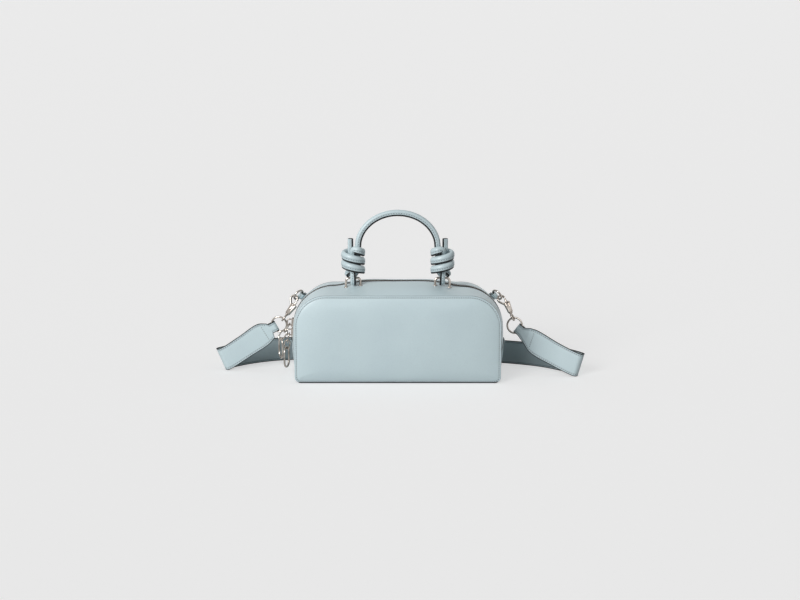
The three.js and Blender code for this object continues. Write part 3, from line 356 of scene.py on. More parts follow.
@dataclass(frozen=True)
class LeatherFinish:
    """Smooth dyed leather with fine grain and a soft finish coat."""

    name: str
    light: Colour
    dark: Colour
    # Colour of the painted shade in sewn grooves, also mixed faintly into the pores.
    seam: Colour
    roughness: float = 0.44
    cells: float = 1100
    relief: float = 0.000018
    coat: float = 0.05

    def material(self) -> Material:
        """Build the material.

        Returns:
            The material, which darkens along the piece's seam attribute as painted shade in the sewn grooves.
        """
        nodes = MaterialNodes(self.name)
        grain = nodes.group(leather_grain(), Cells=self.cells, Drift=16)
        colour = nodes.between(nodes.ranged(grain["Tone"], 0, 1, 0.34, 0.66), self.dark, self.light)
        colour = nodes.between(nodes.ranged(grain["Pores"], 0, 0.06, 0.45, 0.95), colour, self.seam)
        # Painted shade: the seam attribute darkens the sewn grooves towards the seam colour.
        seam = nodes.node("Attribute")
        seam.attribute_name = "seam"
        nodes.shade(Base_Color=nodes.between(seam.outputs["Fac"], colour, self.seam), Specular_IOR_Level=0.42,
                    Roughness=nodes.ranged(grain["Tone"], self.roughness + 0.06, self.roughness - 0.04),
                    Coat_Weight=self.coat, Coat_Roughness=0.35)
        nodes.bump(grain["Height"], self.relief)
        return nodes.material


@dataclass(frozen=True)
class GrainFinish:
    """Matt stuff with a coarse or fine grain: edge paint, waxed thread, the painted shade of needle holes,
    fibre board.
    """

    name: str
    low: Colour
    high: Colour
    cells: float = 4200
    drift: float = 240
    relief: float = 0.00016
    rough: tuple[float, float] = (0.66, 0.5)
    mask: str = "Pores"
    span: tuple[float, float] = (0.2, 0.8)
    specular: float = 0.5

    def material(self) -> Material:
        """Build the material, whose colour goes from low to high with the mask over its span."""
        nodes = MaterialNodes(self.name)
        grain = nodes.group(leather_grain(), Cells=self.cells, Drift=self.drift)
        mask = nodes.ranged(grain[self.mask], 0, 1, *self.span)
        nodes.shade(Base_Color=nodes.between(mask, self.low, self.high), Specular_IOR_Level=self.specular,
                    Roughness=nodes.ranged(grain["Tone"], *self.rough))
        nodes.bump(grain["Height"], self.relief)
        return nodes.material


@dataclass(frozen=True)
class MetalFinish:
    """Plated metal with faint hairlines and handling smears."""

    name: str
    bright: Colour
    dull: Colour
    roughness: float = 0.14

    def material(self) -> Material:
        """Build the material."""
        nodes = MaterialNodes(self.name)
        marks = nodes.group(metal_marks(), Fineness=900)
        nodes.shade(Base_Color=nodes.between(nodes.ranged(marks["Smears"], 0, 1), self.dull, self.bright),
                    Roughness=nodes.ranged(marks["Smears"], self.roughness + 0.12, self.roughness),
                    Metallic=1.0)
        nodes.bump(marks["Hairlines"], 0.00003, 0.6)
        return nodes.material


@dataclass(frozen=True)
class WovenFinish:
    """Woven cloth with over-and-under threads."""

    name: str
    light: Colour
    dark: Colour
    threads: float = 1600

    def material(self) -> Material:
        """Build the material, which reads the piece's own map."""
        nodes = MaterialNodes(self.name)
        cloth = nodes.group(plain_weave(), "UV", Threads=self.threads, Slub=90)
        mask = nodes.ranged(cloth["Shade"], 0, 1, 0.2, 0.8)
        nodes.shade(Base_Color=nodes.between(mask, self.dark, self.light),
                    Roughness=nodes.ranged(cloth["Shade"], 0.95, 0.78))
        nodes.bump(cloth["Height"], 0.00025)
        return nodes.material


@dataclass(frozen=True)
class Look:
    """Materials of a piece, the main one first, and the slot of the record that it takes them from."""

    slot: Slot
    materials: tuple[Material, ...]


class Finishes:
    """All finishes of the bag, each material built once."""

    def __init__(self) -> None:
        """Build the materials."""
        # The third colour of each leather is the painted shade of its sewn grooves.
        pale = LeatherFinish("pale_blue_leather", linear(192, 209, 213), linear(188, 205, 210),
                             linear(70, 83, 89), roughness=0.38)
        handle = LeatherFinish("handle_leather", linear(188, 204, 208), linear(181, 197, 202),
                               linear(100, 116, 122), roughness=0.36)
        reverse = LeatherFinish("strap_reverse_leather", linear(158, 172, 176), linear(146, 160, 164),
                                linear(70, 81, 85), roughness=0.56)
        edge = GrainFinish("edge_paint", linear(18, 20, 21), linear(38, 41, 43), 700, 90, 0.00012,
                           (0.6, 0.44), "Tone", (0.3, 0.7), 0.25).material()
        board = GrainFinish("fibre_board", linear(112, 100, 84), linear(158, 144, 122), 2400, 120, 0.0001,
                            (0.92, 0.8), "Tone", (0, 1))
        thread = GrainFinish("pale_thread", linear(212, 224, 227), linear(172, 187, 192))
        grey_thread = GrainFinish("grey_thread", linear(128, 142, 146), linear(70, 80, 84))
        # Needle holes are dark beads: painted shade in the holes.
        holes = GrainFinish("needle_holes", linear(66, 78, 83), linear(40, 48, 52)).material()
        nickel = MetalFinish("warm_nickel", linear(200, 193, 185), linear(150, 142, 135), 0.1)
        teeth = MetalFinish("dark_nickel", linear(132, 126, 120), linear(92, 87, 82), 0.16)
        steel = MetalFinish("plain_steel", linear(196, 196, 194), linear(168, 168, 166), 0.26)
        tape = WovenFinish("zip_tape_cloth", linear(44, 48, 50), linear(18, 20, 21))
        lining = WovenFinish("lining_cloth", linear(132, 142, 145), linear(92, 101, 104), 1100)
        self.pale = Look(Slot.PALE_LEATHER, (pale.material(), edge))
        self.handle = Look(Slot.PALE_LEATHER, (handle.material(), edge))
        self.reverse = Look(Slot.DARK_LEATHER, (reverse.material(), edge))
        self.thread = Look(Slot.PALE_LEATHER, (thread.material(), holes))
        self.grey_thread = Look(Slot.DARK_LEATHER, (grey_thread.material(), holes))
        self.nickel = Look(Slot.NICKEL, (nickel.material(),))
        self.teeth = Look(Slot.NICKEL, (teeth.material(),))
        self.steel = Look(Slot.STEEL, (steel.material(),))
        self.tape = Look(Slot.ZIP_TAPE, (tape.material(),))
        self.lining = Look(Slot.LINING, (lining.material(),))
        self.board = Look(Slot.BOARD, (board.material(),))


def clear_selection() -> None:
    """Leave edit mode and deselect everything."""
    if bpy.context.object and bpy.context.object.mode != "OBJECT":
        bpy.ops.object.mode_set(mode="OBJECT")
    bpy.ops.object.select_all(action="DESELECT")


@dataclass
class Part:
    """A piece in the making, which is shaped and handed over."""

    item: Item

    @classmethod
    def made(cls, name: str) -> "Part":
        """The object that Blender has just made, under a name."""
        bpy.context.object.name = name
        return cls(bpy.context.object)

    @classmethod
    def joined(cls, name: str, parts: Sequence["Part"]) -> "Part":
        """Join pieces into one.

        Args:
            name: Name of the whole.
            parts: The pieces.

        Returns:
            The whole.
        """
        parts[0].focus()
        for part in parts[1:]:
            part.item.select_set(True)
        bpy.ops.object.join()
        return cls.made(name)

    def focus(self) -> None:
        """Make it the only object selected, and the active one."""
        clear_selection()
        self.item.select_set(True)
        bpy.context.view_layer.objects.active = self.item

    def select(self, test: Callable[[Vector], bool]) -> None:
        """Enter edit mode with the points selected that pass a test.

        Args:
            test: Says of a point whether it is selected.
        """
        self.focus()
        bpy.context.tool_settings.mesh_select_mode = (True, False, False)
        mesh = self.item.data
        for part in (mesh.polygons, mesh.edges):
            part.foreach_set("select", [False] * len(part))
        mesh.vertices.foreach_set("select", [bool(test(v.co)) for v in mesh.vertices])
        bpy.ops.object.mode_set(mode="EDIT")

    def resize(self, test: Callable[[Vector], bool], value: Triple, centre: Triple = (0, 0, 0)) -> None:
        """Resize the points that pass a test.

        Args:
            test: Says of a point whether it is moved.
            value: Factor along each axis.
            centre: Place that stays, in metres.
        """
        self.select(test)
        bpy.ops.transform.resize(value=value, center_override=centre)
        bpy.ops.object.mode_set(mode="OBJECT")

    def taken_apart(self) -> tuple[Array, list[list[int]]]:
        """Remove it, to copy it.

        Returns:
            Its points and its faces.
        """
        points = np.array([v.co[:] for v in self.item.data.vertices])
        faces = [list(p.vertices) for p in self.item.data.polygons]
        bpy.data.objects.remove(self.item)
        return points, faces

    def place(self, origin: Vector, x: Vector, y: Vector, z: Vector) -> None:
        """Put it from its own axes into the bag's frame, and apply that.

        Args:
            origin: Its origin in millimetres.
            x: Its X axis.
            y: Its Y axis.
            z: Its Z axis.
        """
        self.focus()
        turn = Matrix((x, y, z)).transposed().to_4x4()
        self.item.matrix_world = Matrix.Translation(origin * MM) @ turn
        bpy.ops.object.transform_apply(location=True, rotation=True, scale=True)

    def close(self, angle: float) -> None:
        """Merge doubles, turn the faces outwards and shade smooth up to an angle in degrees."""
        self.select(lambda point: True)
        bpy.ops.mesh.remove_doubles(threshold=1e-7)
        bpy.ops.mesh.normals_make_consistent(inside=False)
        bpy.ops.object.mode_set(mode="OBJECT")
        bpy.ops.object.shade_smooth_by_angle(angle=radians(angle))

    def round_edges(self, width: float, segments: int = 2, angle: float = 55) -> None:
        """Round the sharp edges with a bevel that is applied.

        Args:
            width: Width of the rounding in millimetres.
            segments: Steps of the rounding.
            angle: Smallest angle in degrees that is rounded.
        """
        self.focus()
        bevel = self.item.modifiers.new("rounded", "BEVEL")
        bevel.width = width * MM
        bevel.segments = segments
        bevel.limit_method = "ANGLE"
        bevel.angle_limit = radians(angle)
        bpy.ops.object.modifier_apply(modifier=bevel.name)
        bpy.ops.object.shade_smooth_by_angle(angle=radians(50))

    def hand_over(self, body: Body, look: Look, node: str = "") -> None:
        """Dress the finished piece and let it ride on its body.

        Args:
            body: Body that it rides on.
            look: Its materials.
            node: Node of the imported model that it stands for.
        """
        for material in look.materials:
            self.item.data.materials.append(material)
        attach(self.item, body.value)
        if node:
            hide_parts(node)
        LOG.info("%s on %s: %d faces", self.item.name, body.value, len(self.item.data.polygons))


def dress(node: str, look: Look) -> None:
    """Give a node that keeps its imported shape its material."""
    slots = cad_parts[node].data.materials
    slots.clear()
    slots.append(look.materials[0])


def mesh_piece(name: str, points: Array, faces: Sequence[Sequence[int]], marks: Sequence[int] | None = None,
               seam: Array | None = None, flat: Array | None = None) -> Part:
    """Make a piece from points and faces.

    Args:
        name: Name of the piece.
        points: Points in millimetres.
        faces: Point numbers of each face.
        marks: Material number of each face.
        seam: Painted shade of each point in a sewn groove, 0 to 1, kept in the seam attribute.
        flat: Flat coordinates of each point in metres.

    Returns:
        The piece.
    """
    mesh = bpy.data.meshes.new(name)
    mesh.from_pydata((np.asarray(points, float) * MM).tolist(), [], [list(f) for f in faces])
    if marks is not None:
        mesh.polygons.foreach_set("material_index", list(marks))
    if seam is not None:
        mesh.attributes.new("seam", "FLOAT", "POINT").data.foreach_set("value", np.asarray(seam, np.float32))
    if flat is not None:
        layer = mesh.uv_layers.new(name="flat")
        index = np.zeros(len(mesh.loops), np.int32)
        mesh.loops.foreach_get("vertex_index", index)
        layer.data.foreach_set("uv", np.asarray(flat, np.float32)[index].ravel())
    mesh.update()
    item = bpy.data.objects.new(name, mesh)
    bpy.context.scene.collection.objects.link(item)
    return Part(item)


def along(points: Array) -> Array:
    """Distance of each point along a line."""
    steps = np.linalg.norm(np.diff(points, axis=0), axis=1)
    return np.concatenate([[0.0], np.cumsum(steps)])


def at_distance(place: float, distance: Array, values: Array) -> Array:
    """Vector of a list at a distance along its line."""
    return np.array([np.interp(place, distance, values[:, k]) for k in range(3)])


def ring_faces(rows: int, sides: int) -> list[list[int]]:
    """Faces between closed rings of points, ring after ring."""
    return [[i * sides + j, i * sides + k, (i + 1) * sides + k, (i + 1) * sides + j]
            for i in range(rows - 1) for j, k in zip(range(sides), [*range(1, sides), 0])]


def sheet_piece(name: str, outer: Array, inner: Array, seam: Array | None = None,
                painted: bool = True, lapped: bool = False) -> Part:
    """Make a closed sheet from the points of its two sides.

    Args:
        name: Name of the piece.
        outer: Points of the outer side, rows by columns by 3.
        inner: Points of the inner side.
        seam: Painted groove shade on the outer side.
        painted: Whether its cut edges take the second material.
        lapped: Whether the paint laps onto the outermost strips of both sides.

    Returns:
        The piece.
    """
    rows, columns = outer.shape[:2]
    count = rows * columns
    number = np.arange(count).reshape(rows, columns)
    a, b, c, d = number[:-1, :-1], number[1:, :-1], number[1:, 1:], number[:-1, 1:]
    top = np.stack([a, b, c, d], -1).reshape(-1, 4)
    faces = [*top.tolist(), *(top[:, ::-1] + count).tolist()]
    strip = np.zeros((rows - 1, columns - 1), int)
    if lapped:
        strip[:, [0, -1]] = 1
    marks = [*strip.ravel().tolist(), *strip.ravel().tolist()]
    border = [*number[0, :], *number[1:, -1], *number[-1, -2::-1], *number[-2:0:-1, 0]]
    for k, start in enumerate(border):
        end = border[(k + 1) % len(border)]
        faces.append([int(start), int(end), int(end) + count, int(start) + count])
        marks.append(1 if painted else 0)
    run = along(outer[:, columns // 2]) * MM
    reach = along(outer[rows // 2]) * MM
    flat = np.stack(np.meshgrid(run, reach, indexing="ij"), -1).reshape(-1, 2)
    depth = np.zeros(count) if seam is None else np.asarray(seam, float).ravel()
    piece = mesh_piece(name, np.concatenate([outer.reshape(-1, 3), inner.reshape(-1, 3)]), faces, marks,
                       np.concatenate([depth, np.zeros(count)]), np.concatenate([flat, flat]))
    piece.close(50)
    return piece


def spline(points: Array, steps: int) -> tuple[Array, Array]:
    """Smooth line through points.

    Args:
        points: The points.
        steps: Steps between one point and the next.

    Returns:
        The line's points, and the place of each in the list of points.
    """
    points = np.asarray(points, float)
    longer = np.concatenate([[2 * points[0] - points[1]], points, [2 * points[-1] - points[-2]]])
    line, places = [], []
    for i in range(len(points) - 1):
        p0, p1, p2, p3 = longer[i:i + 4]
        d0, d1, d2 = (max(1e-4, sqrt(np.linalg.norm(q - p))) for p, q in ((p0, p1), (p1, p2), (p2, p3)))
        start = ((p1 - p0) / d0 - (p2 - p0) / (d0 + d1) + (p2 - p1) / d1) * d1
        end = ((p2 - p1) / d1 - (p3 - p1) / (d1 + d2) + (p3 - p2) / d2) * d1
        last = i == len(points) - 2
        for k in range(steps + (1 if last else 0)):
            t = k / steps
            line.append(p1 + start * t + (3 * (p2 - p1) - 2 * start - end) * t ** 2
                        + (2 * (p1 - p2) + start + end) * t ** 3)
            places.append(i + t)
    return np.array(line), np.array(places)


def unit(vectors: Array) -> Array:
    """Vectors at unit length."""
    return vectors / np.maximum(np.linalg.norm(vectors, axis=-1, keepdims=True), 1e-9)


class Sewing:
    """Sews rows of stitches, with dark beads of painted shade for the needle holes between them, each a copy
    of one modelled stitch.
    """

    hole: float = 0.85
    slant: float = 0.1

    def __init__(self, finishes: Finishes) -> None:
        """Model the stitch.

        Args:
            finishes: The bag's finishes.
        """
        self.finishes = finishes
        clear_selection()
        bpy.ops.mesh.primitive_uv_sphere_add(segments=8, ring_count=5, radius=0.5)
        pattern = Part.made("stitch")
        pattern.select(lambda point: True)
        bpy.ops.transform.rotate(value=pi / 2, orient_axis="Y", center_override=(0, 0, 0))
        bpy.ops.object.mode_set(mode="OBJECT")
        pattern.resize(lambda point: abs(point.x) < 0.42, (1.35, 1.0, 1.0))
        self.points, self.faces = pattern.taken_apart()

    def row(self, name: str, lines: Sequence[tuple[Array, Array]], body: Body = Body.BAG,
            pitch: float = 2.8, length: float = 1.6, width: float = 0.9, dark: bool = False) -> None:
        """Sew rows of stitches as one piece.

        Args:
            name: Name of the piece.
            lines: Points of each row and the outward directions at them, in millimetres.
            body: Body that the row rides on.
            pitch: Distance from stitch to stitch.
            length: Length of a stitch.
            width: Width of a stitch.
            dark: Whether the thread is the grey one.
        """
        points, faces, marks = [], [], []
        for line, out in lines:
            distance = along(line)
            count = max(1, int((distance[-1] - length) / pitch) + 1)
            middles = (distance[-1] - (count - 1) * pitch) / 2 + pitch * np.arange(count)
            # The holes between the stitches are dark beads of painted shade that stand in for the needle
            # holes.
            stitch, hole = (length, width, width * 0.8), (self.hole, self.hole, self.hole * 0.5)
            placed = [*((middle, stitch, 0) for middle in middles),
                      *((middle + pitch / 2, hole, 1) for middle in middles[:-1])]
            for middle, size, mark in placed:
                normal = unit(at_distance(middle, distance, out))
                ahead, behind = (at_distance(middle + step, distance, line) for step in (0.4, -0.4))
                way = unit(ahead - behind)
                side = unit(np.cross(normal, way))
                way = unit(np.cross(side, normal) + self.slant * side)
                side = np.cross(normal, way)
                centre = at_distance(middle, distance, line)
                start = len(points) * len(self.points)
                points.append(centre + np.outer(self.points[:, 0] * size[0], way)
                              + np.outer(self.points[:, 1] * size[1], side)
                              + np.outer(self.points[:, 2] * size[2], normal))
                faces.extend([[start + k for k in face] for face in self.faces])
                marks.extend([mark] * len(self.faces))
        piece = mesh_piece(name, np.concatenate(points), faces, marks)
        piece.focus()
        bpy.ops.object.shade_smooth()
        piece.hand_over(body, self.finishes.grey_thread if dark else self.finishes.thread)


class Wires:
    """Rings, ovals and bent wires of the hardware."""

    @staticmethod
    def oval(name: str, centre: Vector, way: Vector, across: Vector, length: float, width: float,
             wire: float) -> Part:
        """Make a ring or an oval link from a torus that is stretched along its length.

        Args:
            name: Name of the piece.
            centre: Its centre in millimetres.
            way: Direction of its length.
            across: Direction of its width.
            length: Length at the middle of the wire.
            width: Width at the middle of the wire.
            wire: Diameter of the wire.

        Returns:
            The piece.
        """
        clear_selection()
        bpy.ops.mesh.primitive_torus_add(major_radius=width * MM / 2, minor_radius=wire * MM / 2,
                                         major_segments=56, minor_segments=16)
        piece = Part.made(name)
        straight = (length - width) / 2 * MM
        if straight > 1e-6:
            for end in (1, -1):
                piece.select(lambda point: point.x * end > 1e-7)
                bpy.ops.transform.translate(value=(end * straight, 0, 0))
                bpy.ops.object.mode_set(mode="OBJECT")
        piece.place(centre, way, across, way.cross(across))
        piece.close(60)
        return piece

    @staticmethod
    def bent(name: str, points: Iterable[Sequence[float]], wire: float, rounds: int = 6) -> Part:
        """Make a bent wire with closed ends from a path.

        Args:
            name: Name of the piece.
            points: Points of its middle line in millimetres.
            wire: Diameter of the wire.
            rounds: Fineness of its round section.

        Returns:
            The piece.
        """
        clear_selection()
        bpy.ops.curve.primitive_nurbs_path_add()
        piece = Part.made(name)
        curve = piece.item.data
        curve.splines.clear()
        path = curve.splines.new("POLY")
        listed = [tuple(float(x) * MM for x in p) for p in points]
        path.points.add(len(listed) - 1)
        for point, co in zip(path.points, listed):
            point.co = (*co, 1)
        curve.dimensions = "3D"
        curve.bevel_depth = wire * MM / 2
        curve.bevel_resolution = rounds
        curve.use_fill_caps = True
        bpy.ops.object.convert(target="MESH")
        piece = Part.made(name)
        piece.close(60)
        return piece

    @staticmethod
    def bar(name: str, diameter: float, low: float, high: float, sides: int = 28,
            rounding: float = 0.3) -> Part:
        """Make a round bar along Z with rounded rims.

        Args:
            name: Name of the piece.
            diameter: Its diameter in millimetres.
            low: Its lower end.
            high: Its upper end.
            sides: Sides of its round.
            rounding: Rounding of its rims.

        Returns:
            The piece.
        """
        clear_selection()
        bpy.ops.mesh.primitive_cylinder_add(vertices=sides, radius=diameter * MM / 2, depth=(high - low) * MM,
                                            location=(0, 0, (high + low) * MM / 2))
        piece = Part.made(name)
        bpy.ops.object.transform_apply(location=True, rotation=True, scale=True)
        piece.round_edges(rounding, 3, 60)
        return piece

    @staticmethod
    def block(name: str, low: Sequence[float], high: Sequence[float], rounding: float) -> Part:
        """Make a block with rounded edges.

        Args:
            name: Name of the piece.
            low: Lowest corner in millimetres.
            high: Highest corner.
            rounding: Rounding of its edges.

        Returns:
            The piece.
        """
        clear_selection()
        middle = [(a + b) / 2 * MM for a, b in zip(low, high)]
        bpy.ops.mesh.primitive_cube_add(size=1, location=middle)
        piece = Part.made(name)
        piece.item.scale = [(b - a) * MM for a, b in zip(low, high)]
        bpy.ops.object.transform_apply(location=True, rotation=True, scale=True)
        piece.select(lambda point: True)
        bpy.ops.mesh.bevel(offset=rounding * MM, segments=4, profile=0.5, affect="EDGES")
        bpy.ops.object.mode_set(mode="OBJECT")
        return piece


@dataclass(frozen=True)
class BagForm:
    """Outline and bulge of the bag, in millimetres."""

    half_width: float = 128
    height: float = 110
    half_depth: float = 55
    shoulder: float = 47
    foot: float = 8
    leather: float = 2.2
    crown: float = 4
    shoulder_bulge: float = 4
    end_bulge: float = 5
    top_crown: float = 7
    seam_height: float = 41
    band_edge: float = 52.5
    seam_gap: float = 0.3
    panel_corner: float = 39
    corner_fade: float = 12.5

    def squarer(self, angle: float) -> float:
        """How far the front panel's tighter corner stands out beyond the shoulder arc.

        Args:
            angle: Angle on the shoulder arc in radians, 0 at the end wall.

        Returns:
            The distance along the arc's normal.
        """
        shift = self.shoulder - self.panel_corner
        c, s = cos(angle), sin(angle)
        if min(c, s) * self.shoulder <= max(c, s) * shift:
            return self.shoulder / max(c, s) - self.shoulder
        k = shift * (c + s)
        return k + sqrt(k * k - 2 * shift ** 2 + self.panel_corner ** 2) - self.shoulder

    @property
    def shoulder_x(self) -> float:
        """Place of the shoulder arc's centre along the width."""
        return self.half_width - self.shoulder

    @property
    def shoulder_z(self) -> float:
        """Height of the shoulder arc's centre."""
        return self.height - self.shoulder

    def side_bulge(self, z: float) -> float:
        """Bulge of the end wall at a height."""
        reach = (self.shoulder_z - self.foot) / 2
        peak = (self.shoulder_z + self.foot) / 2
        hump = 1 - min(1.0, abs(z - peak) / reach) ** 2
        return (self.shoulder_bulge * smooth((z - self.foot) / reach)
                + (self.end_bulge - self.shoulder_bulge) * hump ** 2)

    def top_bulge(self, x: float) -> float:
        """Bulge of the top at a place along the width."""
        return self.shoulder_bulge + self.top_crown * (1 - min(1.0, abs(x) / self.shoulder_x) ** 4) ** 2

    def base(self, step: float) -> list[tuple[float, ...]]:
        """Stations of the right half of the base, from the middle outwards."""
        reach = self.half_width - self.foot
        count = max(2, round(reach / step))
        return [(reach * i / count, 0.0, 0.0, -1.0, 0.0, 0.0) for i in range(count + 1)]

    def foot_arc(self, steps: int = 8) -> list[tuple[float, ...]]:
        """Stations of the right foot arc, without its ends."""
        listed = []
        for i in range(1, steps):
            nx, nz = turned(-90 + 90 * i / steps)
            x, z = self.half_width - self.foot + self.foot * nx, self.foot + self.foot * nz
            listed.append((x, z, nx, nz, 0.0, 0.0))
        return listed

    def side(self, low: float, high: float, step: float) -> list[tuple[float, ...]]:
        """Stations of the right end wall."""
        count = max(2, round((high - low) / step))
        heights = [blend(low, high, i / count) for i in range(count + 1)]
        return [(self.half_width, z, 1.0, 0.0, self.side_bulge(z), 0.0) for z in heights]

    def shoulder_arc(self, step: float) -> list[tuple[float, ...]]:
        """Stations of the right shoulder, without its ends."""
        count = round(self.shoulder * pi / 2 / step)
        listed = []
        for i in range(1, count):
            angle = pi / 2 * i / count
            nx, nz = cos(angle), sin(angle)
            listed.append((self.shoulder_x + self.shoulder * nx, self.shoulder_z + self.shoulder * nz, nx, nz,
                           self.shoulder_bulge, self.squarer(angle)))
        return listed

    def top(self, step: float) -> list[tuple[float, ...]]:
        """Stations of the right half of the top, from the shoulder to the middle."""
        count = round(self.shoulder_x / step)
        places = [self.shoulder_x * (1 - i / count) for i in range(count + 1)]
        return [(x, self.height, 0.0, 1.0, self.top_bulge(x), 0.0) for x in places]

    @staticmethod
    def mirrored(stations: Sequence[tuple[float, ...]]) -> list[tuple[float, ...]]:
        """The stations on the other side, in the opposite order."""
        return [(-x, z, -nx, nz, *rest) for x, z, nx, nz, *rest in reversed(stations)]

    def over_top(self, seam: float, step: float = 2.5) -> Array:
        """Stations from the right seam over the top to the left one."""
        right = [*self.side(seam, self.shoulder_z, step), *self.shoulder_arc(step), *self.top(step)]
        return np.array([*right, *self.mirrored(right)[1:]])

    def under_base(self, seam: float, step: float = 2.5) -> Array:
        """Stations from the left seam under the base to the right one."""
        right = [*self.base(step), *self.foot_arc(), *self.side(self.foot, seam, step)]
        return np.array([*self.mirrored(right), *right[1:]])

    def loop(self, step: float = 2.5) -> Array:
        """Stations round the whole outline, starting at the middle of the base."""
        right = [*self.base(step), *self.foot_arc(), *self.side(self.foot, self.shoulder_z, step),
                 *self.shoulder_arc(step), *self.top(step)]
        return np.array([*right, *self.mirrored(right)[1:-1]])

    def band(self, stations: Array, y: float, depth: float = 0.0, ripple: float = 0.0) -> Array:
        """Line of the band round the bag at a depth below its face.

        Args:
            stations: Stations of the outline.
            y: Place across the bag.
            depth: Depth below the face.
            ripple: Share of the soft unevenness of the leather.

        Returns:
            The points of the line.
        """
        near = smooth((-y - self.band_edge + self.corner_fade) / self.corner_fade)
        swell = stations[:, 4] * (1 - (y / self.band_edge) ** 2) + stations[:, 5] * near - depth
        if ripple:
            run = along(stations[:, :2])
            edge = 1 - (abs(y) / self.band_edge) ** 6
            waves = 0.35 * np.sin(run / 17 + y / 23) + 0.25 * np.sin(run / 41 - y / 15 + 1.3)
            swell = swell + ripple * edge * waves
        return np.stack([stations[:, 0] + stations[:, 2] * swell, np.full(len(stations), y),
                         stations[:, 1] + stations[:, 3] * swell], -1)

    @staticmethod
    def outward(stations: Array) -> Array:
        """Outward directions of stations."""
        return np.stack([stations[:, 2], np.zeros(len(stations)), stations[:, 3]], -1)


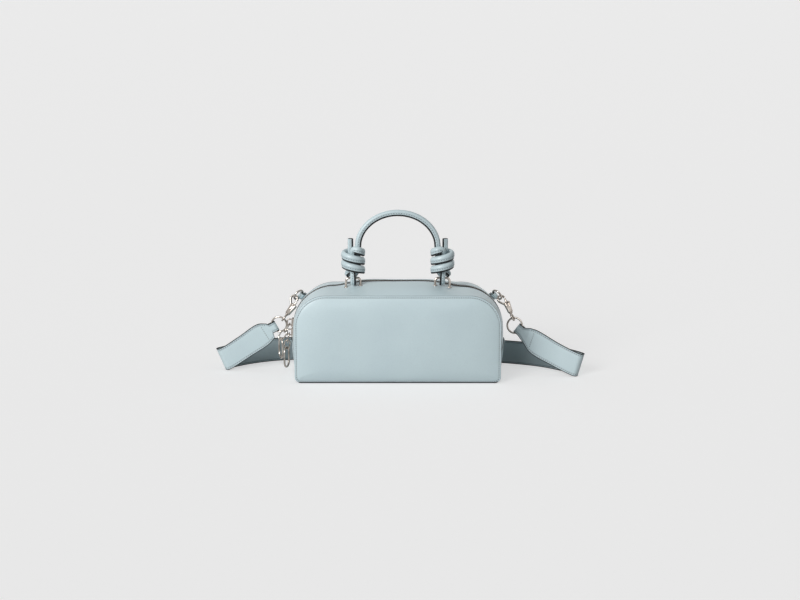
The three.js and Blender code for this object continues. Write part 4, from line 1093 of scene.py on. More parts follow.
@dataclass
class BagBody:
    """Panels, gussets, base, board and linings of the bag."""

    form: BagForm
    finishes: Finishes
    sewing: Sewing
    stitch_inset: float = 2.3
    groove: float = 0.22
    groove_width: float = 0.55
    edge_round: float = 0.45
    zip_stitch: float = 8.8
    gusset_rows: tuple[float, ...] = (52.5, 51, 48, 43, 38, 33, 28, 23, 18, 14, 11, 9.9, 9.3, 8.8, 8.3, 7.6,
                                      6.7, 6)
    base_rows: tuple[float, ...] = (52.5, 51, 48, 42, 35, 28, 20, 12, 4)
    foot_roll: float = 1.3
    foot_reach: float = 5
    puff: float = 1.2
    puff_reach: float = 9
    offsets: tuple[float, ...] = (0, 0.22, 0.6, 1.2, 1.6, 2.0, 2.3, 2.6, 3.1, 4.2, 5.8, 7.6)
    inner_rings: int = 11
    dents: tuple[tuple[float, float, float, float], ...] = (
        (-62, 38, -0.8, 34), (44, 32, 0.7, 40), (92, 70, -0.7, 22), (-98, 66, 0.5, 24), (4, 84, -0.6, 30),
        (-30, 70, 0.5, 26), (70, 52, -0.5, 26), (-104, 20, -0.5, 20), (108, 22, -0.5, 18))
    lining: float = 0.8
    lining_drop: float = 4.6
    board_thickness: float = 2

    def build(self) -> None:
        """Build and dress all the pieces."""
        for side in Side:
            self.panel(side)
            self.zip_gusset(side)
            self.linings(side)
        self.base()
        self.board()

    def face(self, places: Array, edges: Array, facing: float, drop: Array | float) -> Array:
        """Points of a panel's face.

        Args:
            places: X and Z of the points.
            edges: X and Z of the outline in the same direction.
            facing: Sign of Y.
            drop: Depth below the plain crowned face.

        Returns:
            The points.
        """
        middle = np.array([0, self.form.height / 2])
        share = np.linalg.norm(places - middle, axis=-1) / np.linalg.norm(edges - middle, axis=-1)
        fade = 1 - share ** 24
        across = 1 - np.minimum(1, np.abs(places[..., 0]) / self.form.half_width) ** 5
        rise = np.clip((places[..., 1] - middle[1]) / middle[1], -1, 1)
        upright = 1 - np.where(rise > 0, rise ** 4, rise ** 2)
        y = self.form.half_depth + (self.form.crown - self.puff / 2) * fade * across * upright - drop
        for x, z, size, spread in self.dents:
            away = (places[..., 0] - x) ** 2 + (places[..., 1] - z) ** 2
            y = y + size * across * upright * np.exp(-away / spread ** 2)
        return np.stack([places[..., 0], facing * y, places[..., 1]], -1)

    def puffed(self, inward: Array | float) -> Array | float:
        """Rise of the face at a distance inside the row of stitches."""
        return self.puff * (1 - np.exp(-np.maximum(0, inward - self.stitch_inset) / self.puff_reach))

    def rolled(self, places: Array) -> Array:
        """How far the face turns in towards the foot at places on it."""
        return self.foot_roll * np.exp(-(places[..., 1] / self.foot_reach) ** 2)

    def panel(self, side: Side) -> None:
        """Crowned front or back panel with a sewn groove and a painted edge, with painted shade in the groove
        and a painted contact shadow along its foot.
        """
        name = side.name.lower()
        stations = self.form.loop()
        normals = stations[:, 2:4]
        edges = stations[:, :2] + normals * stations[:, 5:] * (side is Side.FRONT)
        middle = np.array([0, self.form.height / 2])
        rings, seams = [], []
        for d in self.offsets:
            rounding = 0.6 * max(0.0, 1 - d / 0.6) ** 2
            groove = self.groove * exp(-((d - self.stitch_inset) / self.groove_width) ** 2)
            places = edges - normals * d
            drop = rounding + groove + self.rolled(places) - self.puffed(d)
            rings.append(self.face(places, edges, side.value, drop))
            # Painted shade in the sewn groove and along the panel's outer edge, kept in the seam attribute.
            sewn = exp(-((d - self.stitch_inset) / 0.5) ** 2)
            seams.append(max(0.6 * sewn, 0.35 * max(0, 1 - d / 0.5)))
        last = edges - normals * self.offsets[-1]
        for k in range(1, self.inner_rings):
            share = 1 - k / self.inner_rings
            inward = self.offsets[-1] + (1 - share) * np.linalg.norm(last - middle, axis=-1)
            places = middle + (last - middle) * share
            rings.append(self.face(places, edges, side.value, self.rolled(places) - self.puffed(inward)))
            seams.append(0.0)
        count = len(edges)
        inner = [self.face(middle + (edges - middle) * share, edges, side.value, self.form.leather)
                 for share in (1.0, 0.85, 0.6, 0.3)]
        rows = [*rings[::-1], *inner]
        crest = self.face(middle[None], edges[:1], side.value, -self.puff)
        floor = self.face(middle[None], edges[:1], side.value, self.form.leather)
        points = np.concatenate([*rows, crest, floor])
        seam = np.concatenate([np.repeat([*seams[::-1], *[0.0] * len(inner)], count), [0.0, 0.0]])
        faces, marks = ring_faces(len(rows), count), []
        rim = len(rings) - 1
        # The rim takes the edge paint; the strips just inside it along the foot take it too, as a painted
        # contact shadow under the bag.
        for i in range(len(rows) - 1):
            marks.extend(int(i == rim or (rim - 4 <= i < rim and z < 1)) for z in stations[:, 1])
        tip = len(rows) * count
        for j in range(count):
            k = (j + 1) % count
            faces.append([k, j, tip])
            faces.append([tip - count + j, tip - count + k, tip + 1])
            marks.extend((0, 0))
        piece = mesh_piece(f"{name}_panel_leather", points, faces, marks, seam)
        piece.close(60)
        piece.hand_over(Body.BAG, self.finishes.pale, f"{name}_panel")
        places = edges - normals * self.stitch_inset
        ring = self.face(places, edges, side.value, self.groove + self.rolled(places))
        ring = np.concatenate([ring, ring[:1]])
        self.sewing.row(f"{name}_panel_stitches", [(ring, np.tile([0, side.value, 0], (len(ring), 1)))])

    def band_grid(self, stations: Array, ys: Sequence[float], depth: float, sewn: Sequence[float],
                  ripple: float) -> tuple[Array, Array]:
        """Points of a band sheet with sewn grooves, and the painted shade in those grooves.

        Args:
            stations: Stations of the outline.
            ys: Places across the bag.
            depth: Depth below the bag's face.
            sewn: Places across the bag that have a row of stitches.
            ripple: Share of the soft unevenness.

        Returns:
            The points and the painted groove shade at each.
        """
        lines, seams = [], []
        for y in ys:
            near = max([exp(-((y - s) / self.groove_width) ** 2) for s in sewn], default=0.0)
            lines.append(self.form.band(stations, y, depth + self.groove * near, ripple))
            # Painted shade in the sewn groove.
            seams.append(np.full(len(stations), 0.7 * near))
        return np.stack(lines, 1), np.stack(seams, 1)

    def band_sheet(self, node: str, stations: Array, ys: Sequence[float], depth: float = 0.0,
                   sewn: Sequence[float] = (), ripple: float = 0.0, leather: bool = True) -> None:
        """Sheet of leather or lining cloth round the bag.

        Args:
            node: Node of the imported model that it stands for.
            stations: Stations of the outline.
            ys: Places across the bag.
            depth: Depth below the bag's face.
            sewn: Places across the bag that have a row of stitches.
            ripple: Share of the soft unevenness.
            leather: Whether it is leather.
        """
        thickness = self.form.leather if leather else self.lining
        outer, seam = self.band_grid(stations, ys, depth, sewn, ripple)
        inner, _ = self.band_grid(stations, ys, depth + thickness, (), ripple)
        name = f"{node}_leather" if leather else f"{node}_cloth"
        piece = sheet_piece(name, outer, inner, seam, painted=leather)
        if leather:
            piece.round_edges(self.edge_round)
        piece.hand_over(Body.BAG, self.finishes.pale if leather else self.finishes.lining, node)

    def zip_gusset(self, side: Side) -> None:
        """Leather from the end seams over the top, between a panel and the zip."""
        name = side.name.lower()
        stations = self.form.over_top(self.form.seam_height + self.form.seam_gap)
        sewn = side.value * self.zip_stitch
        ys = [side.value * y for y in self.gusset_rows]
        self.band_sheet(f"zip_gusset_{name}", stations, ys, sewn=[sewn], ripple=1.0)
        row = self.form.band(stations, sewn, self.groove, 1.0)
        ends = []
        for part in (stations[:4], stations[-4:]):
            places = [self.form.band(part, side.value * y, 0.02, 1.0) for y in np.linspace(10.5, 50, 24)]
            pick = 1 if part[0, 0] > 0 else 2
            out = np.tile(self.form.outward(part)[pick], (24, 1))
            ends.append((np.array([p[pick] for p in places]), out))
        self.sewing.row(f"zip_gusset_{name}_stitches", [(row, self.form.outward(stations)), *ends])

    def base(self) -> None:
        """Leather of the base, which turns up at both ends to the end seams."""
        stations = self.form.under_base(self.form.seam_height)
        self.band_sheet("base_gusset", stations, [*self.base_rows, *(-y for y in self.base_rows[::-1])])
        rows = []
        for part in (stations[:3], stations[-3:]):
            line = np.array([self.form.band(part, y, 0.02)[1] for y in np.linspace(-50, 50, 60)])
            rows.append((line, np.tile(self.form.outward(part)[1], (60, 1))))
        self.sewing.row("base_gusset_stitches", rows)

    def board(self) -> None:
        """Stiff board on the base, under the lining."""
        inset = self.form.foot + self.form.seam_gap
        reach = self.form.half_width - inset
        half = self.form.band_edge - self.lining - 2 * self.form.seam_gap
        low = self.form.leather + self.form.seam_gap
        high = low + self.board_thickness
        piece = Wires.block("base_board_fibre", (-reach, -half, low), (reach, half, high), 0.5)
        piece.hand_over(Body.BAG, self.finishes.board, "base_board")

    def linings(self, side: Side) -> None:
        """Cloth on the inside of a panel and of a gusset, and on the base once."""
        name = side.name.lower()
        face = self.form.half_depth - self.form.leather - self.form.seam_gap
        inset = self.lining_drop + self.lining + self.form.seam_gap
        stations = self.form.loop(6)
        edges = stations[:, :2] - stations[:, 2:4] * inset
        middle = np.array([0, self.form.height / 2])
        layers = []
        for depth in (0.0, self.lining):
            rows = []
            for share in (1.0, 0.75, 0.5, 0.25, 0.02):
                places = middle + (edges - middle) * share
                y = face + self.form.crown * (1 - share ** 2) - depth
                rows.append(np.stack([places[:, 0], np.full(len(places), side.value * y), places[:, 1]], -1))
            grid = np.stack(rows, 1)
            layers.append(np.concatenate([grid, grid[:1]]))
        piece = sheet_piece(f"lining_{name}_cloth", layers[0], layers[1], painted=False)
        piece.hand_over(Body.BAG, self.finishes.lining, f"lining_{name}")
        edge = face - self.lining - self.form.seam_gap
        over = self.form.over_top(self.form.seam_height, 5)
        ys = [side.value * y for y in np.linspace(edge, 11.8, 6)]
        self.band_sheet(f"lining_gusset_{name}", over, ys, self.lining_drop, leather=False)
        if side is Side.FRONT:
            drop = self.form.leather + self.board_thickness + 2 * self.form.seam_gap
            under = self.form.under_base(self.form.seam_height - self.form.seam_gap - self.lining, 5)
            ys = list(np.linspace(-edge, edge, 10))
            self.band_sheet("lining_base", under, ys, drop, leather=False)


@dataclass
class ZipFastener:
    """Tapes, teeth, end tabs, sliders and their chained pulls."""

    form: BagForm
    finishes: Finishes
    sewing: Sewing
    tape_thickness: float = 0.8
    tooth_pitch: float = 3.2
    tooth_height: float = 2.5
    tooth_reach: float = 3.2
    tooth_half: float = 0.62
    tooth_root: float = 0.5
    tape_rows: tuple[float, ...] = (11, 8, 5, 2.5, 0.35)
    tab_height: float = 5
    tab_half_width: float = 9
    tab_thickness: float = 1.6
    slider_length: float = 11
    slider_half_width: float = 4.6
    plate_low: float = 0.8
    plate_top: float = 2.4
    bail_wire: float = 1.8
    bail_span: float = 7.2
    bail_bend: float = 1.8
    pivot_rise: float = 5.5
    link_wire: float = 1.8
    link_width: float = 7
    link_step: float = 11.3
    link_reach: float = 2.2
    ring_length: float = 25.5
    ring_width: float = 14.5
    ring_wire: float = 2.5
    ring_reach: float = 2.55
    ring_turn: float = 20
    side_step: float = 5
    upper_height: float = 67
    lower_height: float = 54.5
    upper_lean: float = 5.5
    lower_lean: float = 2

    def build(self) -> None:
        """Build and dress all the pieces."""
        for side in Side:
            self.tape(side)
            self.teeth(side)
        for hand in Hand:
            self.end_tab(hand)
        self.slider("upper", self.upper_height, -self.side_step, self.upper_lean)
        self.slider("lower", self.lower_height, self.side_step, self.lower_lean)

    def tape(self, side: Side) -> None:
        """Woven tape under a gusset's edge."""
        name = side.name.lower()
        stations = self.form.over_top(self.form.seam_height + 2 * self.form.seam_gap)
        ys = [side.value * y for y in self.tape_rows]
        drop = self.form.leather + self.form.seam_gap
        outer = np.stack([self.form.band(stations, y, drop) for y in ys], 1)
        inner = np.stack([self.form.band(stations, y, drop + self.tape_thickness) for y in ys], 1)
        piece = sheet_piece(f"zip_tape_{name}_cloth", outer, inner, painted=False)
        piece.hand_over(Body.BAG, self.finishes.tape, f"zip_tape_{name}")

    def tooth(self) -> tuple[Array, list[list[int]]]:
        """Model one tooth: a rounded bar with a domed head, in axes of reach, run and height.

        Returns:
            Its points in millimetres and its faces.
        """
        high = (self.tooth_reach - self.tooth_root, self.tooth_half, self.tooth_height)
        piece = Wires.block("tooth", (-self.tooth_root, -self.tooth_half, 0), high, 0.3)
        middle = (0, 0, self.tooth_height * MM / 2)
        piece.resize(lambda point: point.x < 0.4 * MM, (1, 0.72, 0.86), middle)
        points, faces = piece.taken_apart()
        return points / MM, faces

    def teeth(self, side: Side) -> None:
        """Row of teeth along the zip, in the gaps of the other row."""
        name = side.name.lower()
        pattern, pattern_faces = self.tooth()
        stations = self.form.over_top(self.form.seam_height + 2 * self.form.seam_gap)
        line = self.form.band(stations, 0.0, self.form.leather)
        out = self.form.outward(stations)
        distance = along(line)
        start = self.tooth_pitch * (0.75 if side is Side.FRONT else 1.25)
        points, faces = [], []
        for s in np.arange(start, distance[-1] - self.tooth_pitch / 2, self.tooth_pitch):
            way = unit(at_distance(s + 0.5, distance, line) - at_distance(s - 0.5, distance, line))
            up = unit(at_distance(s, distance, out))
            number = len(points) * len(pattern)
            points.append(at_distance(s, distance, line) + np.outer(pattern[:, 0], [0, side.value, 0])
                          + np.outer(pattern[:, 1], way) + np.outer(pattern[:, 2], up))
            faces.extend([[number + k for k in face] for face in pattern_faces])
        piece = mesh_piece(f"zip_teeth_{name}_metal", np.concatenate(points), faces)
        piece.close(60)
        piece.hand_over(Body.BAG, self.finishes.teeth, f"zip_teeth_{name}")

    def end_tab(self, hand: Hand) -> None:
        """Leather tab over an end of the zip."""
        name = hand.name.lower()
        low = self.form.seam_height
        stations = np.array(self.form.side(low, low + self.tab_height, 0.6))
        if hand is Hand.LEFT:
            stations = np.array(self.form.mirrored([tuple(s) for s in stations]))
        drop = -(self.form.seam_gap + self.tab_thickness + self.tooth_height - self.form.leather)
        ys = np.linspace(-self.tab_half_width, self.tab_half_width, 19)
        outer = np.stack([self.form.band(stations, y, drop + 0.5 * (abs(y) / self.tab_half_width) ** 4)
                          for y in ys], 1)
        inner = np.stack([self.form.band(stations, y, drop + self.tab_thickness) for y in ys], 1)
        piece = sheet_piece(f"zip_end_tab_{name}_leather", outer, inner)
        piece.round_edges(0.5, 3)
        piece.hand_over(Body.BAG, self.finishes.pale, f"zip_end_tab_{name}")
        middle = stations[len(stations) // 2:len(stations) // 2 + 1]
        line = np.array([self.form.band(middle, y, drop + 0.05)[0] for y in np.linspace(-7, 7, 12)])
        out = np.tile(self.form.outward(middle)[0], (12, 1))
        self.sewing.row(f"zip_end_tab_{name}_stitches", [(line, out)], length=2.2)

    def slider_axes(self, height: float) -> tuple[Vector, Vector, Vector]:
        """Origin, outward direction and climbing direction of a slider on the left end.

        Args:
            height: Height of the slider's middle.

        Returns:
            The origin and the two directions.
        """
        climb = max(0.0, height - self.form.shoulder_z)
        radius = self.form.shoulder + self.form.shoulder_bulge
        turn = asin(climb / radius)
        outward = Vector((-cos(turn), 0, sin(turn)))
        up = Vector((sin(turn), 0, cos(turn)))
        if climb > 0:
            return Vector((-self.form.shoulder_x, 0, self.form.shoulder_z)) + outward * radius, outward, up
        return Vector((-self.form.half_width - self.form.side_bulge(height), 0, height)), outward, up

    def slider_body(self, name: str) -> Part:
        """Channel over the teeth, waisted to its tail, with a wire bail, in axes of X out and Z up.

        Args:
            name: Name of the piece.

        Returns:
            The piece.
        """
        half, end = self.slider_half_width, self.slider_length / 2
        crown = Wires.block(f"{name}_crown", (self.plate_low, -half, -end), (self.plate_top, half, end), 0.5)
        parts = [crown]
        for sign in (-1, 1):
            low, high = sorted((sign * (half - 1.1), sign * half))
            corner = (self.plate_top - 0.4, high, end)
            parts.append(Wires.block(f"{name}_flange", (-1.7, low, -end), corner, 0.4))
        for part in parts:
            part.resize(lambda point: point.z < -end * MM * 0.6, (1, 0.82, 1), (0, 0, -end * MM))
        bail_top = self.pivot_rise + self.link_reach
        leg, bend = self.bail_span / 2, self.bail_bend
        path = [(self.plate_low + 0.4, 0, -leg)]
        for degrees in range(0, 91, 15):
            c, s = turned(degrees)
            path.append((bail_top - bend + bend * s, 0, -leg + bend - bend * c))
        path.extend([(x, y, -z) for x, y, z in reversed(path)])
        parts.append(Wires.bent(f"{name}_bail", path, self.bail_wire))
        return Part.joined(name, parts)

    def slider(self, name: str, height: float, side_step: float, lean: float) -> None:
        """Slider with a pull of two links and an oval ring.

        Args:
            name: Upper or lower.
            height: Height of the slider's middle.
            side_step: Sideways step of each link.
            lean: Outward lean of each link.
        """
        origin, outward, up = self.slider_axes(height)
        piece = self.slider_body(f"zip_slider_{name}_metal")
        piece.place(origin, outward, up.cross(outward), up)
        piece.close(50)
        piece.hand_over(Body(f"{name}_slider"), self.finishes.nickel, f"zip_slider_{name}")
        pivot = origin + outward * self.pivot_rise - up * (self.bail_span / 2)
        drop = sqrt(self.link_step ** 2 - side_step ** 2 - lean ** 2)
        step = Vector((-lean, side_step, -drop))
        way = step.normalized()
        first_across = (Y_AXIS - way * way.y).normalized()
        for start, across, place, body in (
                (pivot, first_across, "upper", Body(f"{name}_link_a")),
                (pivot + step, way.cross(first_across), "lower", Body(f"{name}_link_b"))):
            centre = start + way * (self.link_step - self.link_reach) / 2
            link = Wires.oval(f"{name}_pull_{place}_link_metal", centre, way, across,
                              self.link_step + self.link_reach, self.link_width, self.link_wire)
            link.hand_over(body, self.finishes.nickel, f"{name}_pull_{place}_link")
        centre = pivot + step * 2 - way * self.ring_reach - Vector((0, 0, self.ring_length / 2))
        c, s = turned(copysign(self.ring_turn, side_step))
        ring = Wires.oval(f"{name}_pull_ring_metal", centre, Z_AXIS, Vector((s, c, 0)), self.ring_length,
                          self.ring_width, self.ring_wire)
        ring.hand_over(Body(f"{name}_ring"), self.finishes.nickel, f"{name}_pull_ring")


@dataclass(frozen=True)
class RopeStation:
    """One place along the rope: its point, its outer direction, how flat it is and where its sewn lip is."""

    point: Vector
    out: Vector
    flat: float
    lip: float


@dataclass
class KnottedHandle:
    """One rolled-leather rope with a sewn lip, knotted round two staples."""

    form: BagForm
    finishes: Finishes
    sewing: Sewing
    rope: float = 7
    spacing: float = 111
    inset_y: float = -22
    top: float = 213
    knot_height: float = 150.5
    wrap_radius: float = 12
    wrap_thickness: float = 6.4
    wrap_height: float = 10
    wrap_pitch: float = 11
    wrap_turns: float = 2.3
    wrap_start: float = -25
    wrap_lean: float = 0.11
    wrap_top: float = 11.5
    tail_length: float = 26
    loop_radius: float = 5.5
    bar_height: float = 127.3
    staple_wire: float = 3
    staple_span: float = 18
    staple_bend: float = 4
    plate_depth: float = 4.0
    standing: tuple[float, float] = (4.4, 1.2)
    rising: tuple[float, float] = (-0.6, -4.4)
    tail: tuple[float, float] = (-3.4, 2.6)
    lip_reach: float = 1.5
    lip_flat: float = 0.45
    lip_spread: float = 15
    waist: float = 0.32
    waist_angle: float = 46
    waist_spread: float = 12
    stitch_angle: float = 44
    lip_angles: tuple[float, ...] = (-5, 5, 13, 22, 34, 50, 70, 95, 120, 145, 170, 195, 220, 245, 265, 290,
                                     310, 326, 338, 347)

    def build(self) -> None:
        """Build and dress the rope, its stitches and its staples."""
        self.handle()
        for hand in Hand:
            self.staple(hand)

    def knot(self) -> list[RopeStation]:
        """Stations of the left knot in its own axes, from the tail's end to the arch.

        Returns:
            The stations.
        """
        listed: list[RopeStation] = []

        def add(x: float, y: float, z: float, out: Sequence[float], flat: float, lip: float) -> None:
            """Add a station with a given outer direction."""
            listed.append(RopeStation(Vector((x, y, z)), Vector(out).normalized(), flat, lip))

        def radial(x: float, y: float, z: float, flat: float, lip: float) -> None:
            """Add a station that faces away from the knot's axis."""
            add(x, y, z, (x, y, 0), flat, lip)

        for z in (self.tail_length, 12, 0, -9):
            radial(*self.tail, z, 0, -170)
        radial(-4.6, 3.9, -15, 0, -150)
        radial(-7.4, 6.6, -18.6, 0.2, -120)
        radial(-7, 10, -18.4, 0.5, -80)
        steps = round(self.wrap_turns * 12)
        for i in range(steps, -1, -1):
            c, s = turned(self.wrap_start + 360 * self.wrap_turns * i / steps)
            z = self.wrap_top - self.wrap_pitch * self.wrap_turns * i / steps
            x, y = self.wrap_radius * c, self.wrap_radius * s
            radial(x, y, z - self.wrap_lean * x, 1, -58)
        radial(6.2, -10.2, 12.8, 0.9, -58)
        radial(1.2, -8.2, 13.2, 0.5, -54)
        radial(self.rising[0], self.rising[1] - 0.6, 7.5, 0, -50)
        for z in (-2, -12):
            radial(*self.rising, z, 0, -40)
        drop = self.bar_height - self.knot_height
        for degrees in (180, 225, 270, 315, 360):
            y, z = turned(degrees)
            add(0, self.loop_radius * y, drop + self.loop_radius * z, (0, y, z), 0, -40)
        add(2.4, 3.6, -17.5, (0.6, 0.8, 0), 0, -25)
        for z in (-11, 0, 10):
            radial(*self.standing, z, 0, -30)
        return listed

    def stations(self) -> list[RopeStation]:
        """Stations of the whole rope, left knot, arch and right knot."""
        shift = Vector((-self.spacing / 2, self.inset_y, self.knot_height))
        left = [RopeStation(s.point + shift, s.out, s.flat, s.lip) for s in self.knot()]
        mirror = Vector((-1, 1, 1))
        right = [RopeStation(s.point * mirror, s.out * mirror, s.flat, s.lip) for s in reversed(left)]
        low = self.knot_height + 16
        reach = self.spacing / 2 - self.standing[0] - 1.2
        rise = self.top - self.rope / 2 - low
        arch = []
        for i in range(17):
            turn = pi * (1 - i / 16)
            c, s = cos(turn), sin(turn)
            point = Vector((reach * c, self.inset_y, low + rise * s))
            arch.append(RopeStation(point, Vector((-c, 0, -s)), 0, -30))
        return [*left, *arch, *right]

    def frames(self, steps: int = 6) -> tuple[Array, ...]:
        """Finely spaced centres, outer directions, cross directions, flatness and lip angles.

        Args:
            steps: Steps between stations.

        Returns:
            The five lists.
        """
        listed = self.stations()
        centres, places = spline(np.array([s.point[:] for s in listed]), steps)
        index = np.minimum(places.astype(int), len(listed) - 2)
        share = (places - index)[:, None]
        outs = np.array([s.out[:] for s in listed])
        out = outs[index] * (1 - share) + outs[index + 1] * share
        way = unit(np.gradient(centres, axis=0))
        out = unit(out - way * np.sum(out * way, axis=1, keepdims=True))
        values = np.array([(s.flat, s.lip) for s in listed])
        mixed = values[index] * (1 - share) + values[index + 1] * share
        return centres, out, np.cross(way, out), mixed[:, 0], mixed[:, 1]

    def ring_point(self, frames: tuple[Array, ...], angle: float) -> Array:
        """Line on the rope's skin at an angle from its lip.

        Args:
            frames: The rope's frames.
            angle: Angle from the lip in degrees.

        Returns:
            The points of the line.
        """
        centres, out, across, flat, lip = frames
        thick = (self.rope + (self.wrap_thickness - self.rope) * flat) / 2
        tall = (self.rope + (self.wrap_height - self.rope) * flat) / 2
        near = abs((angle + 180) % 360 - 180)
        reach = self.lip_reach * (1 - self.lip_flat * flat) * exp(-(near / self.lip_spread) ** 2)
        waist = -self.waist * exp(-((near - self.waist_angle) / self.waist_spread) ** 2)
        turn = np.radians(lip + angle)
        aim = np.cos(turn)[:, None] * out * thick[:, None] + np.sin(turn)[:, None] * across * tall[:, None]
        return centres + aim + unit(aim) * (reach + waist)[:, None]

    def handle(self) -> None:
        """The rope itself, with dark paint on its sewn lip, painted shade in the crease beside it, and its
        stitches.
        """
        frames = self.frames()
        rings = np.stack([self.ring_point(frames, angle) for angle in self.lip_angles], 1)
        rows, sides = rings.shape[:2]
        faces = ring_faces(rows, sides)
        marks = [int(j in (0, 1, 2, sides - 1, sides - 2)) for j in range(sides)] * (rows - 1)
        points = [rings.reshape(-1, 3)]
        for row, place in ((0, 1), (rows - 1, -1)):
            centre = frames[0][row]
            start = sum(len(p) for p in points)
            out = unit(frames[0][row] - frames[0][row + place])
            points.append(centre + (rings[row] - centre) * 0.72 + out * 0.35)
            points.append(np.array([centre + out * 0.15]))
            for j in range(sides):
                k = (j + 1) % sides
                faces.append([row * sides + j, start + j, start + k, row * sides + k])
                faces.append([start + j, start + sides, start + k])
                marks.extend((1, 1))
        # Painted shade in the crease beside the lip, where the stitches run.
        seam = np.zeros((rows, sides))
        for j, angle in enumerate(self.lip_angles):
            near = abs((angle + 180) % 360 - 180)
            seam[:, j] = 0.6 * exp(-((near - self.waist_angle) / 9) ** 2)
        depth = np.concatenate([seam.ravel(), np.zeros(sum(len(p) for p in points) - rows * sides)])
        piece = mesh_piece("handle_rope_leather", np.concatenate(points), faces, marks, depth)
        piece.close(60)
        piece.hand_over(Body.HANDLE, self.finishes.handle, "handle")
        lines = []
        for angle in (self.stitch_angle, -self.stitch_angle):
            line = self.ring_point(frames, angle)
            lines.append((line[4:-4], unit(line - frames[0])[4:-4]))
        self.sewing.row("handle_stitches", lines, Body.HANDLE, pitch=3.2, length=2.3, width=0.75)

    def staple(self, hand: Hand) -> None:
        """Bent wire that a knot's loop runs through, with a collar at each foot."""
        name = hand.name.lower()
        middle = hand.value * self.spacing / 2
        feet = [middle - self.staple_span / 2, middle + self.staple_span / 2]

        def surface(x: float) -> float:
            """Height of the leather under the handle."""
            return self.form.height + self.form.top_bulge(x) * (1 - (self.inset_y / self.form.band_edge) ** 2)

        path = [(feet[0], self.inset_y, surface(feet[0]) - self.plate_depth)]
        for foot, way in ((feet[0], 1), (feet[1], -1)):
            turns = range(0, 91, 15) if way > 0 else range(90, -1, -15)
            for degrees in turns:
                c, s = turned(degrees)
                path.append((foot + way * self.staple_bend * (1 - c), self.inset_y,
                             self.bar_height - self.staple_bend + self.staple_bend * s))
        path.append((feet[1], self.inset_y, surface(feet[1]) - self.plate_depth))
        parts = [Wires.bent(f"handle_staple_{name}_metal", path, self.staple_wire)]
        for x in feet:
            collar = Wires.bar(f"collar_{name}", 5.4, -0.4, 0.7, 32, 0.35)
            collar.place(Vector((x, self.inset_y, surface(x))), X_AXIS, Y_AXIS, Z_AXIS)
            parts.append(collar)
        piece = Part.joined(f"handle_staple_{name}_metal", parts)
        piece.close(50)
        piece.hand_over(Body.BAG, self.finishes.nickel, f"handle_staple_{name}")
        dress(f"staple_backing_plate_{name}", self.finishes.steel)


@dataclass(frozen=True)
class StrapEnd:
    """How the strap pulls at one end of the bag."""

    hand: Hand
    pull: Vector
    hang: Vector
    strap_way: Vector
    strap_up: Vector


